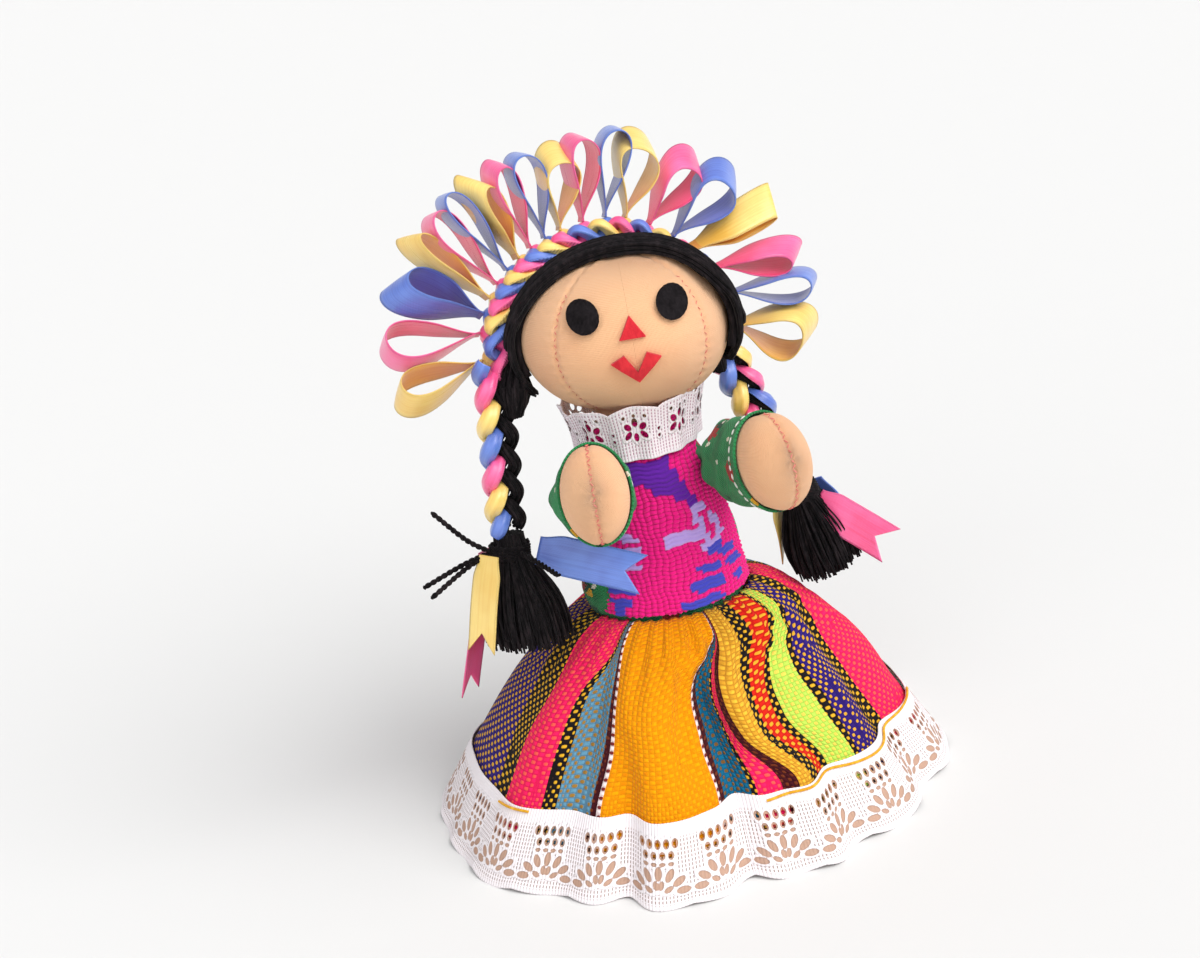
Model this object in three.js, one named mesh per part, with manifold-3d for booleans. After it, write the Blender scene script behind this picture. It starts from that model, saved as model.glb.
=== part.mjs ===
// An otomi cloth doll in millimetres, +Z up. The floor is z = 0 and the doll faces -Y.
// Left and right are the doll's own, so its left side is +X.
import * as THREE from "three";
import { mergeVertices } from "three/addons/utils/BufferGeometryUtils.js";
import Module from "manifold-3d";

const wasm = await Module();
wasm.setup();

const { degToRad, lerp, smoothstep } = THREE.MathUtils;

// Cloth, felt, ribbon and yarn
const clearance = 0.3;
const clothThickness = 0.8;
const bibThickness = 1;
const laceThickness = 0.8;
const skinThickness = 1;
const feltThickness = 0.9;
const ribbonWidth = 7;
const ribbonThickness = 0.5;
const yarnRadius = 0.65;

// Trunk, standing behind and beside the middle of the hem
const trunkSetback = 3;
const trunkBottom = 30;
const waistHeight = 37;
const waistHalfWidth = 12.4;
const waistHalfDepth = 10;
const shoulderHeight = 62;
const shoulderHalfWidth = 9.8;
const shoulderHalfDepth = 8.8;
const trunkTop = 67;
const throatHalfWidth = 7.8;
const throatHalfDepth = 7.3;
const seatTaper = 0.78;
const seatRounding = 0.97;

// Blouse and bib
const blouseTuck = 3.5;
const blouseTopDrop = 1;
const bibTopDrop = 0.8;
const bibTopHalfWidth = 7;
const bibBottomWrap = 2.5;

// Lace collar
const collarBottomDrop = 0.5;
const collarHeight = 7.2;
const collarFrontRise = 2.2;
const collarRipple = 0.4;
const collarRipples = 14;

// Skirt and lace hem
const hemHalfWidth = 45.6;
const hemHalfDepth = 42.5;
const hemShift = -2.5;
const skirtFlare = 0.65;
const skirtFolds = 10;
const foldDepth = 1.5;
const foldSway = 0.5;
const skirtInsideDrop = 0.64;
const clothHemHeight = 5;
const laceHeight = 11;
const laceGap = 0.45;

// Neck and head
const neckRadius = 7.6;
const neckBallRadius = 8.4;
const neckBallRise = 8;
const headRise = 11.6;
const headHalfWidth = 19;
const headHalfDepth = 17;
const headHalfHeight = 14;
const headTilt = 7;
const headTurn = 10;

// Felt face
const eyeRadius = 2.75;
const eyeSpread = 7.6;
const eyeRise = 6.2;
const noseHalfWidth = 2.3;
const noseHeight = 3.8;
const noseBase = 1.8;
const mouthHalfWidth = 4.3;
const mouthCornerRise = 1.2;
const mouthPointDrop = 2.8;
const mouthNotchDrop = 0.9;
const lipPeakSpread = 1.95;
const lipPeakRise = 2.4;
const mouthBase = -3.2;

// Hair with a bunch at each ear
const hairThickness = 3;
const hairTopThickness = 2.4;
const hairlineDepth = 5;
const hairDrop = 8.5;
const bunchInset = 4.9;
const bunchForward = 0.8;
const bunchHalfWidth = 3.4;
const bunchHalfDepth = 4.2;
const bunchHalfHeight = 6.4;

// Ribbon plait over the crown, with a standing loop at each crossing
const crownSetback = 7;
const crownSway = 2;
const crownLift = 1.6;
const crownStrandRadius = 0.68;
const crownSteps = 65;
const crownTail = 5;
const crownTurn = 14;
const crownLean = 8;
const crownSink = 1.2;
const grooveTail = 12;
const loopLength = 17.6;
const loopHalfWidth = 1.7;
const loopFold = 3;
const loopTwist = 27;
// Where each loop stands and where it points, in degrees from the top, from the doll's right to its left
const loops = [
  [-94, -102], [-83.5, -87], [-75.5, -66], [-68, -50], [-61, -39], [-54, -29], [-47, -20],
  [-39.5, -12], [-31.5, -3], [-22.5, 6], [-12, 13], [0, 20], [12, 29], [26, 42],
  [41, 56], [56, 72], [71, 87], [87, 99], [103, 108],
];

// Side plaits, ties and tassels
const plaitLength = 23;
const plaitPitch = 14.6;
const plaitSway = 2.5;
const plaitLift = 1.9;
const plaitStrandRadius = 0.85;
const plaitSteps = 20;
const tasselNeckRadius = 2.6;
const tasselHalfWidth = 5.8;
const tasselLength = 19;
const tasselGrooves = 10;
const tasselGrooveDepth = 0.3;
const tasselDomeTop = 70;
const tasselFullAt = 0.8;
const tieThickness = 1.5;
const tieHeight = 3.6;
const tieTurns = 3;
const tieTopRise = 0.6;
const tieGroove = 0.75;
const yarnEndDepth = 0.6;

// Arms, sleeves and legs
const shoulderAzimuth = 50;
const armRootRadius = 4.6;
const armLength = 27;
const handCentre = 20;
const handHalfWidth = 5.7;
const handHalfHeight = 8.3;
const sleeveStart = 3.5;
const sleeveEnd = 17.5;
const cuffLength = 6;
const cuffFlare = 0.9;
const legSpread = 6.5;
const legRadius = 5.6;
const footRadius = 5.2;
const footLift = 0.8;

// How each side is posed: where its plait and its bunch of hair hang, aim of the arm, what hangs at the tie.
// A tail's bearing turns from outward (0) to the front (90); its slant is measured from straight down.
const sides = [
  {
    name: "right",
    sign: -1,
    ear: { spread: 24.8, setback: 1.8, drop: 7.4 },
    bunchRise: 0.6,
    plaitForwardLean: 10,
    plaitOutwardLean: 7,
    armYaw: 12,
    armPitch: 22,
    tails: [
      { colour: "blue", bearing: 146, slant: 78, roll: -75, length: 20 },
      { colour: "yellow", bearing: 52, slant: 9, roll: 0, length: 17 },
      { colour: "pink", bearing: -50, slant: 8, roll: 0, length: 27 },
    ],
    yarnEnds: [
      { bearing: 4, slant: 135, length: 12 },
      { bearing: 112, slant: 78, length: 8 },
      { bearing: 0, slant: 66, length: 11 },
    ],
  },
  {
    name: "left",
    sign: 1,
    ear: { spread: 18, setback: 7, drop: 10.4 },
    bunchRise: 5,
    plaitForwardLean: 10,
    plaitOutwardLean: 17,
    armYaw: 10,
    armPitch: 17,
    tails: [
      { colour: "pink", bearing: 41, slant: 53, roll: -56, length: 15 },
      { colour: "blue", bearing: -45, slant: 12, roll: 0, length: 18 },
      { colour: "yellow", bearing: -135, slant: 16, roll: 0, length: 12 },
    ],
    yarnEnds: [
      { bearing: -92, slant: 105, length: 9 },
      { bearing: -92, slant: 70, length: 12 },
    ],
  },
];

// Counts of facets
const trunkSides = 22;
const skirtSides = 60;
const skirtRings = 8;
const skirtRingCrowding = 1.5;
const laceRings = 3;
const collarSides = 42;
const collarSteps = 2;
const neckSteps = 6;
const headSides = 22;
const headRings = 14;
const fillSides = 16;
const fillRings = 10;
const limbSides = 14;
const limbSteps = 4;
const limbEndAngles = [80, 55, 28];
const sleeveSteps = 2;
const strandSides = 5;
const yarnEndSteps = 4;
const domeSteps = 2;
const brushSteps = 4;
const dropPoints = 14;
const grooveSteps = 30;
const eyeSegments = 10;

// Worked out from the sizes above
const blouseInner = clearance;
const blouseOuter = blouseInner + clothThickness;
const bibInner = blouseOuter + clearance;
const bibOuter = bibInner + bibThickness;
const skirtTop = waistHeight - clearance - clothThickness / 2;
const neckBallHeight = trunkTop + neckBallRise;
const headHeight = neckBallHeight + headRise;

const looks = {
  skin: new THREE.MeshStandardMaterial({ color: 0xf2c39b, roughness: 0.85, metalness: 0 }),
  stuffing: new THREE.MeshStandardMaterial({ color: 0xf3efe6, roughness: 1, metalness: 0 }),
  blackFelt: new THREE.MeshStandardMaterial({ color: 0x17151a, roughness: 0.95, metalness: 0 }),
  redFelt: new THREE.MeshStandardMaterial({ color: 0xc8283a, roughness: 0.95, metalness: 0 }),
  yarn: new THREE.MeshStandardMaterial({ color: 0x191719, roughness: 0.95, metalness: 0 }),
  pink: new THREE.MeshStandardMaterial({ color: 0xfb4f8c, roughness: 0.4, metalness: 0 }),
  yellow: new THREE.MeshStandardMaterial({ color: 0xefc75f, roughness: 0.4, metalness: 0 }),
  blue: new THREE.MeshStandardMaterial({ color: 0x5874c8, roughness: 0.4, metalness: 0 }),
  print: new THREE.MeshStandardMaterial({ color: 0x2f8a4c, roughness: 0.8, metalness: 0 }),
  bib: new THREE.MeshStandardMaterial({ color: 0xdb177a, roughness: 0.9, metalness: 0 }),
  stripes: new THREE.MeshStandardMaterial({ color: 0xe8a21c, roughness: 0.9, metalness: 0 }),
  lace: new THREE.MeshStandardMaterial({ color: 0xf7f2f4, roughness: 0.85, metalness: 0 }),
};
const ribbonOrder = ["yellow", "pink", "blue"];

// A geometry with its triangles turned so that they face out
function facingOut(geometry) {
  const at = geometry.attributes.position;
  const index = geometry.index.array;
  const [a, b, c] = [new THREE.Vector3(), new THREE.Vector3(), new THREE.Vector3()];
  let volume = 0;
  for (let i = 0; i < index.length; i += 3) {
    a.fromBufferAttribute(at, index[i]);
    b.fromBufferAttribute(at, index[i + 1]);
    c.fromBufferAttribute(at, index[i + 2]);
    volume += a.dot(b.cross(c));
  }
  if (volume < 0) {
    for (let i = 0; i < index.length; i += 3) {
      [index[i], index[i + 1]] = [index[i + 1], index[i]];
    }
  }
  return geometry;
}

// A closed surface through rings of points, capped at both ends or, when endless, joined last to first
function surfaceOfRings(rings, endless = false) {
  const count = rings[0].length;
  const points = rings.flat();
  const faces = [];
  const bands = endless ? rings.length : rings.length - 1;
  for (let band = 0; band < bands; band++) {
    const near = band * count;
    const far = ((band + 1) % rings.length) * count;
    for (let k = 0; k < count; k++) {
      const next = (k + 1) % count;
      faces.push(near + k, near + next, far + next, near + k, far + next, far + k);
    }
  }
  if (!endless) {
    for (const [ring, start, turn] of [[rings[0], 0, 1], [rings.at(-1), points.length - count, 0]]) {
      const middle = points.length;
      points.push(ring.reduce((sum, point) => sum.add(point), new THREE.Vector3()).divideScalar(count));
      for (let k = 0; k < count; k++) {
        const pair = [start + k, start + ((k + 1) % count)];
        faces.push(middle, pair[turn], pair[1 - turn]);
      }
    }
  }
  const geometry = new THREE.BufferGeometry().setFromPoints(points);
  geometry.setIndex(faces);
  return facingOut(geometry);
}

function toSolid(geometry) {
  const bare = geometry.clone();
  bare.deleteAttribute("normal");
  bare.deleteAttribute("uv");
  const merged = facingOut(mergeVertices(bare));
  const vertProperties = new Float32Array(merged.attributes.position.array);
  const triVerts = new Uint32Array(merged.index.array);
  return new wasm.Manifold(new wasm.Mesh({ numProp: 3, vertProperties, triVerts }));
}

function toGeometry(solid) {
  const mesh = solid.getMesh();
  const geometry = new THREE.BufferGeometry();
  geometry.setAttribute("position", new THREE.BufferAttribute(new Float32Array(mesh.vertProperties), 3));
  geometry.setIndex(new THREE.BufferAttribute(new Uint32Array(mesh.triVerts), 1));
  return geometry;
}

function addPiece(parent, name, geometry, look) {
  const mesh = new THREE.Mesh(geometry, look);
  mesh.name = name;
  parent.add(mesh);
  return mesh;
}

// A level oval of points, starting at the front and turning towards +X
function oval(halfWidth, halfDepth, height, count, ripple = () => 0) {
  return Array.from({ length: count }, (_, k) => {
    const angle = (2 * Math.PI * k) / count;
    const out = ripple(angle);
    return new THREE.Vector3(
      (halfWidth + out) * Math.sin(angle),
      -(halfDepth + out) * Math.cos(angle),
      height,
    );
  });
}

function span(first, last, steps) {
  return Array.from({ length: steps + 1 }, (_, k) => lerp(first, last, k / steps));
}

function ellipsoid(halfWidth, halfDepth, halfHeight, sideCount = headSides, ringCount = headRings) {
  const geometry = new THREE.SphereGeometry(1, sideCount, ringCount);
  geometry.rotateX(Math.PI / 2);
  geometry.scale(halfWidth, halfDepth, halfHeight);
  return geometry;
}

function tubeAlong(points, radius, steps, sideCount = strandSides) {
  const section = new THREE.Shape().absarc(0, 0, radius, 0, 2 * Math.PI);
  const extrudePath = new THREE.CatmullRomCurve3(points);
  return new THREE.ExtrudeGeometry(section, { steps, extrudePath, curveSegments: sideCount / 2 });
}

// Trunk
const doll = new THREE.Group();
const trunk = new THREE.Group();
trunk.position.y = trunkSetback;
doll.add(trunk);

// Half width and half depth of the stuffed trunk at a height
function trunkHalves(height) {
  const stations = [
    [trunkBottom, waistHalfWidth * seatTaper, waistHalfDepth * seatTaper],
    [(trunkBottom + waistHeight) / 2, waistHalfWidth * seatRounding, waistHalfDepth * seatRounding],
    [waistHeight, waistHalfWidth, waistHalfDepth],
    [shoulderHeight, shoulderHalfWidth, shoulderHalfDepth],
    [trunkTop, throatHalfWidth, throatHalfDepth],
  ];
  const upper = Math.max(1, stations.findIndex(([level]) => level >= height));
  const [low, high] = [stations[upper - 1], stations[upper]];
  const share = (height - low[0]) / (high[0] - low[0]);
  return { width: lerp(low[1], high[1], share), depth: lerp(low[2], high[2], share) };
}

function trunkRing(height, offset) {
  const { width, depth } = trunkHalves(height);
  return oval(width + offset, depth + offset, height, trunkSides);
}

const trunkLevels = [
  ...span(trunkBottom, waistHeight, 2),
  ...span(waistHeight, shoulderHeight, 4).slice(1),
  trunkTop,
];

// A coat round the trunk between two heights and two offsets
function trunkCoat(bottom, top, inner, outer) {
  const levels = [bottom, ...trunkLevels.filter((level) => level > bottom && level < top), top];
  const outside = levels.map((level) => trunkRing(level, outer));
  const inside = levels.map((level) => trunkRing(level, inner));
  return surfaceOfRings([...outside, ...inside.reverse()], true);
}

function makeBody() {
  const outside = toSolid(surfaceOfRings(trunkLevels.map((level) => trunkRing(level, 0))));
  const hollowLevels = [trunkBottom + skinThickness, ...trunkLevels.slice(1)];
  const hollowRings = hollowLevels.map((level) => trunkRing(level, -skinThickness));
  const lid = hollowRings.at(-1).map((point) => point.clone().setZ(trunkTop + skinThickness));
  const hollow = toSolid(surfaceOfRings([...hollowRings, lid]));
  addPiece(trunk, "body", toGeometry(outside.subtract(hollow)), looks.skin);

  const fillLevels = [trunkBottom + skinThickness + clearance, ...trunkLevels.slice(1)];
  const fillRings = fillLevels.map((level) => trunkRing(level, -skinThickness - clearance));
  addPiece(trunk, "body_stuffing", surfaceOfRings(fillRings), looks.stuffing);
}

function makeBlouse() {
  const bottom = waistHeight - blouseTuck;
  const coat = trunkCoat(bottom, trunkTop - blouseTopDrop, blouseInner, blouseOuter);
  addPiece(trunk, "blouse", coat, looks.print);
}

// The bib is the front of a coat over the blouse, wider at the waist, with room for the arms' round roots.
function makeBib() {
  const top = trunkTop - bibTopDrop;
  const coat = toSolid(trunkCoat(waistHeight, top, bibInner, bibOuter));
  const { width, depth } = trunkHalves(top);
  const topEdge = -(depth + bibOuter) * Math.sqrt(1 - (bibTopHalfWidth / (width + bibOuter)) ** 2);
  const bottomEdge = -bibBottomWrap;
  const reach = 2 * (waistHalfWidth + bibOuter);
  const slant = Math.atan2(bottomEdge - topEdge, top - waistHeight);
  const back = new THREE.BoxGeometry(2 * reach, reach, 4 * reach);
  back.translate(0, reach / 2, 0);
  back.rotateX(slant);
  back.translate(0, (topEdge + bottomEdge) / 2, (top + waistHeight) / 2);
  let bib = coat.subtract(toSolid(back));
  for (const side of sides) {
    const room = armRootRadius + clearance;
    const armhole = ellipsoid(room, room, room, limbSides, limbSides / 2);
    const { x, y, z } = shoulderPoint(side);
    armhole.translate(x, y - trunkSetback, z);
    bib = bib.subtract(toSolid(armhole));
  }
  addPiece(trunk, "bib", toGeometry(bib), looks.bib);
}

function makeCollar() {
  const bottom = trunkTop - bibTopDrop - collarBottomDrop;
  const { width, depth } = trunkHalves(bottom);
  const ripple = (angle) => collarRipple * (1 + Math.cos(collarRipples * angle));
  const ring = (level, offset) => oval(width + offset, depth + offset, level, collarSides, ripple);
  const inner = bibOuter + clearance;
  const lifted = (point, share) => {
    const towardsFront = (1 - point.y / (depth + inner)) / 2;
    return point.setZ(point.z + share * collarFrontRise * towardsFront);
  };
  const shares = span(0, 1, collarSteps);
  const wall = (offset) => shares.map((share) => (
    ring(bottom + share * collarHeight, offset).map((point) => lifted(point, share))
  ));
  const sheet = surfaceOfRings([...wall(inner + laceThickness), ...wall(inner).reverse()], true);
  addPiece(trunk, "lace_collar", sheet, looks.lace);
}

// A ring of the gathered skirt at a height, moved out by an offset and down by a drop.
// Towards the hem it shifts sideways, off the doll's own middle.
function skirtRing(height, offset, drop = 0) {
  const fall = 1 - height / skirtTop;
  const flare = fall ** skirtFlare;
  const waist = blouseOuter + clearance + clothThickness;
  const fold = (angle) => foldDepth * flare * Math.cos(skirtFolds * angle + foldSway * Math.sin(2 * angle));
  const ring = oval(
    lerp(waistHalfWidth + waist, hemHalfWidth, flare) + offset,
    lerp(waistHalfDepth + waist, hemHalfDepth, flare) + offset,
    height - drop,
    skirtSides,
    fold,
  );
  const setback = lerp(trunkSetback, 0, fall);
  return ring.map(({ x, y, z }) => new THREE.Vector3(x + hemShift * fall, y + setback, z));
}

function makeSkirt() {
  const falls = span(0, 1, skirtRings - 1).map((share) => share ** skirtRingCrowding);
  const levels = falls.map((fall) => lerp(skirtTop, clothHemHeight, fall));
  const outside = levels.map((level) => skirtRing(level, 0));
  const inside = levels.map((level) => skirtRing(level, -clothThickness, skirtInsideDrop));
  addPiece(doll, "skirt", surfaceOfRings([...outside, ...inside.reverse()], true), looks.stripes);
}

function makeLaceHem() {
  const levels = span(laceHeight, 0, laceRings - 1);
  const outside = levels.map((level) => skirtRing(level, laceGap + laceThickness));
  const inside = levels.map((level) => skirtRing(level, laceGap));
  addPiece(doll, "lace_hem", surfaceOfRings([...outside, ...inside.reverse()], true), looks.lace);
}

// Neck: a stump that ends in a ball, which the head sits on
function makeNeck() {
  const shaftTop = neckBallRise - Math.sqrt(neckBallRadius ** 2 - neckRadius ** 2);
  const startAngle = Math.asin((shaftTop - neckBallRise) / neckBallRadius);
  const arc = span(startAngle, Math.PI / 2, neckSteps).map((angle) => new THREE.Vector2(
    neckBallRadius * Math.cos(angle),
    neckBallRise + neckBallRadius * Math.sin(angle),
  ));
  const profile = [new THREE.Vector2(0, clearance), new THREE.Vector2(neckRadius, clearance), ...arc];
  profile.at(-1).x = 0;
  const geometry = new THREE.LatheGeometry(profile, trunkSides);
  geometry.rotateX(Math.PI / 2);
  addPiece(trunk, "neck", geometry, looks.skin).position.z = trunkTop;
}

// Head, tilted back and turned to its right about its middle
const head = new THREE.Group();
head.position.set(0, trunkSetback, headHeight);
head.rotation.set(-degToRad(headTilt), 0, -degToRad(headTurn), "ZXY");
doll.add(head);
head.updateMatrixWorld(true);
const toHead = head.matrixWorld.clone().invert();

function headSolid(offset, sideCount, ringCount) {
  const halves = [headHalfWidth, headHalfDepth, headHalfHeight].map((half) => half + offset);
  return toSolid(ellipsoid(...halves, sideCount, ringCount));
}

function makeHead() {
  const room = neckBallRadius + clearance;
  const socket = ellipsoid(room, room, room);
  socket.translate(0, trunkSetback, neckBallHeight);
  socket.applyMatrix4(toHead);
  const neckRoom = toSolid(socket);
  const hollow = headSolid(-skinThickness, fillSides, fillRings);
  addPiece(head, "head", toGeometry(headSolid(0).subtract(hollow).subtract(neckRoom)), looks.skin);
  const fill = headSolid(-skinThickness - clearance, fillSides, fillRings);
  addPiece(head, "head_stuffing", toGeometry(fill.subtract(neckRoom)), looks.stuffing);
}

// A felt shape cut square to the face and laid on the head's curve
function feltPatch(outline, x, z) {
  const depth = 2 * headHalfDepth;
  const cut = { depth, bevelEnabled: false, curveSegments: eyeSegments };
  const prism = new THREE.ExtrudeGeometry(outline, cut);
  prism.rotateX(Math.PI / 2);
  prism.translate(x, 0, z);
  const sheet = headSolid(clearance + feltThickness).subtract(headSolid(clearance));
  return toGeometry(toSolid(prism).intersect(sheet));
}

function makeFace() {
  const eye = new THREE.Shape().absarc(0, 0, eyeRadius, 0, 2 * Math.PI);
  addPiece(head, "eye_left", feltPatch(eye, eyeSpread, eyeRise), looks.blackFelt);
  addPiece(head, "eye_right", feltPatch(eye, -eyeSpread, eyeRise), looks.blackFelt);

  const nose = new THREE.Shape();
  nose.moveTo(-noseHalfWidth, 0);
  nose.lineTo(noseHalfWidth, 0);
  nose.lineTo(0, noseHeight);
  nose.closePath();
  addPiece(head, "nose", feltPatch(nose, 0, noseBase), looks.redFelt);

  const mouth = new THREE.Shape();
  mouth.moveTo(-mouthHalfWidth, mouthCornerRise);
  mouth.lineTo(0, -mouthPointDrop);
  mouth.lineTo(mouthHalfWidth, mouthCornerRise);
  mouth.lineTo(lipPeakSpread, lipPeakRise);
  mouth.lineTo(0, -mouthNotchDrop);
  mouth.lineTo(-lipPeakSpread, lipPeakRise);
  mouth.closePath();
  addPiece(head, "mouth", feltPatch(mouth, 0, mouthBase), looks.redFelt);
}

function earPoint(side) {
  const { spread, setback, drop } = side.ear;
  return new THREE.Vector3(side.sign * spread, trunkSetback + setback, headHeight - drop);
}

const hairHalves = new THREE.Vector3(
  headHalfWidth + hairThickness,
  headHalfDepth + hairThickness,
  headHalfHeight + hairTopThickness,
);

// The crown plait lies in a plane that is turned and leans back on the hair.
const crown = new THREE.Group();
crown.position.y = crownSetback;
crown.rotation.set(-degToRad(crownLean), 0, degToRad(crownTurn), "ZXY");
head.add(crown);
const crownTop = crownLift + crownStrandRadius + clearance;

// A point of the crown's plane at an angle from its top, raised from the plait's middle and moved back
function crownPoint(degrees, lift, back) {
  const angle = degToRad(degrees);
  const spoke = new THREE.Vector3(Math.sin(angle), 0, Math.cos(angle));
  const ray = spoke.clone().applyQuaternion(crown.quaternion).divide(hairHalves);
  const start = crown.position.clone().divide(hairHalves);
  const [square, along] = [ray.lengthSq(), ray.dot(start)];
  const hairReach = (Math.sqrt(along ** 2 - square * (start.lengthSq() - 1)) - along) / square;
  return spoke.multiplyScalar(hairReach + crownTop - crownSink + lift).setY(back);
}

// How many turns the plait has made at an angle: a third of a turn from each loop to the next
function crownTurns(degrees) {
  const next = loops.findIndex(([angle]) => angle > degrees);
  const after = next < 0 ? loops.length - 1 : Math.max(next, 1);
  const [[low], [high]] = [loops[after - 1], loops[after]];
  return (after - 1 + (degrees - low) / (high - low)) / ribbonOrder.length;
}

const crownAngles = span(loops[0][0] - crownTail, loops.at(-1)[0] + crownTail, 2 * crownSteps);

function makeHair() {
  const outer = ellipsoid(...hairHalves.toArray());
  const reach = 2 * hairHalves.x;
  const face = new THREE.BoxGeometry(reach, reach, reach);
  face.translate(0, -reach / 2 - hairlineDepth, 0);
  const below = new THREE.BoxGeometry(reach, reach, reach);
  below.translate(0, trunkSetback, headHeight - hairDrop - reach / 2);
  below.applyMatrix4(toHead);
  let hair = toSolid(outer).subtract(toSolid(face)).subtract(toSolid(below));
  for (const side of sides) {
    const bunch = ellipsoid(bunchHalfWidth, bunchHalfDepth, bunchHalfHeight, limbSides, fillRings);
    const { x, y, z } = earPoint(side);
    bunch.translate(x - side.sign * bunchInset, y - bunchForward, z + side.bunchRise);
    bunch.applyMatrix4(toHead);
    hair = hair.add(toSolid(bunch));
  }
  hair = hair.subtract(headSolid(clearance));
  for (const side of sides) {
    const radius = plaitSway + plaitStrandRadius + clearance;
    const room = new THREE.CapsuleGeometry(radius, plaitLength, strandSides, limbSides);
    room.rotateX(Math.PI / 2);
    room.translate(0, 0, -plaitLength / 2);
    const plait = new THREE.Object3D();
    hangPlait(plait, side);
    plait.updateMatrixWorld(true);
    room.applyMatrix4(plait.matrixWorld).applyMatrix4(toHead);
    hair = hair.subtract(toSolid(room));
  }
  const grooveAngles = span(loops[0][0] - grooveTail, loops.at(-1)[0] + grooveTail, grooveSteps);
  const grooveMiddle = grooveAngles.map((degrees) => crownPoint(degrees, 0, 0));
  const grooveRadius = crownSway + crownStrandRadius + clearance;
  const groove = tubeAlong(grooveMiddle, grooveRadius, grooveSteps, limbSides);
  crown.updateMatrix();
  groove.applyMatrix4(crown.matrix);
  hair = hair.subtract(toSolid(groove));
  addPiece(head, "hair_cap", toGeometry(hair), looks.yarn);
}

function makeCrown() {
  ribbonOrder.forEach((colour, strand) => {
    const path = crownAngles.map((degrees) => {
      const phase = 2 * Math.PI * (crownTurns(degrees) - strand / ribbonOrder.length) + Math.PI / 4;
      return crownPoint(degrees, crownLift * Math.sin(2 * phase), crownSway * Math.sin(phase));
    });
    addPiece(crown, `crown_${colour}`, tubeAlong(path, crownStrandRadius, crownSteps), looks[colour]);
  });
}

// A drop-shaped outline that starts at a point and is widest near its far end
function dropOutline(path, start, length, halfWidth) {
  const widest = 0.77;
  const turns = span(0, 2 * Math.PI, dropPoints).slice(0, -1);
  const points = turns.map((turn) => new THREE.Vector2(
    (halfWidth * Math.sin(turn) * Math.sin(turn / 2)) / widest,
    start + (length * (1 - Math.cos(turn))) / 2,
  ));
  return path.setFromPoints(points);
}

function makeLoops() {
  const outline = dropOutline(new THREE.Shape(), 0, loopLength, loopHalfWidth);
  const room = loopLength - loopFold - ribbonThickness;
  outline.holes.push(dropOutline(new THREE.Path(), loopFold, room, loopHalfWidth - ribbonThickness));
  loops.forEach(([degrees, heading], k) => {
    const geometry = new THREE.ExtrudeGeometry(outline, { depth: ribbonWidth, bevelEnabled: false });
    geometry.translate(0, 0, -ribbonWidth / 2);
    geometry.rotateX(Math.PI / 2);
    const name = `ribbon_loop_${String(k + 1).padStart(2, "0")}`;
    const loop = addPiece(crown, name, geometry, looks[ribbonOrder[k % ribbonOrder.length]]);
    loop.position.copy(crownPoint(degrees, crownTop, crownSway * Math.SQRT1_2));
    loop.rotation.set(0, degToRad(heading), degToRad(loopTwist), "YXZ");
  });
}

// Plaits hang from the ears along their own -Z
function hangPlait(group, side) {
  group.position.copy(earPoint(side));
  const outward = side.sign * degToRad(-side.plaitOutwardLean);
  group.rotation.set(degToRad(-side.plaitForwardLean), outward, 0);
}

function makePlait(group, side) {
  for (let strand = 0; strand < ribbonOrder.length; strand++) {
    const path = span(0, plaitLength, plaitSteps).map((fall) => {
      const phase = 2 * Math.PI * (fall / plaitPitch + strand / ribbonOrder.length);
      return new THREE.Vector3(plaitSway * Math.sin(phase), plaitLift * Math.sin(2 * phase), -fall);
    });
    const tube = tubeAlong(path, plaitStrandRadius, plaitSteps);
    addPiece(group, `plait_${side.name}_${strand + 1}`, tube, looks.yarn);
  }
}

// The tassel's neck is a dome about its pivot, below the plait's end.
function makeTassel(group, side) {
  const ripple = (size) => (angle) => -size * tasselGrooveDepth * (1 + Math.cos(tasselGrooves * angle));
  const dome = span(tasselDomeTop, 0, domeSteps).map((degrees) => {
    const angle = degToRad(degrees);
    const radius = tasselNeckRadius * Math.cos(angle);
    return oval(radius, radius, tasselNeckRadius * Math.sin(angle), 2 * tasselGrooves);
  });
  const brushTop = tieTopRise - tieHeight;
  const brush = span(0, 1, brushSteps).slice(1).map((share) => {
    const radius = lerp(tasselNeckRadius, tasselHalfWidth, smoothstep(share, 0, tasselFullAt));
    return oval(radius, radius, lerp(brushTop, -tasselLength, share), 2 * tasselGrooves, ripple(share));
  });
  const neck = oval(tasselNeckRadius, tasselNeckRadius, brushTop, 2 * tasselGrooves);
  addPiece(group, `tassel_${side.name}`, surfaceOfRings([...dome, neck, ...brush]), looks.yarn);
}

// A point on the tie, and the direction of what leaves it there
function tieExit(side, bearing, slant) {
  const turn = degToRad(bearing);
  const out = new THREE.Vector3(side.sign * Math.cos(turn), -Math.sin(turn), 0);
  const direction = out.clone().multiplyScalar(Math.sin(degToRad(slant)));
  direction.z = -Math.cos(degToRad(slant));
  return { out, direction };
}

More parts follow.
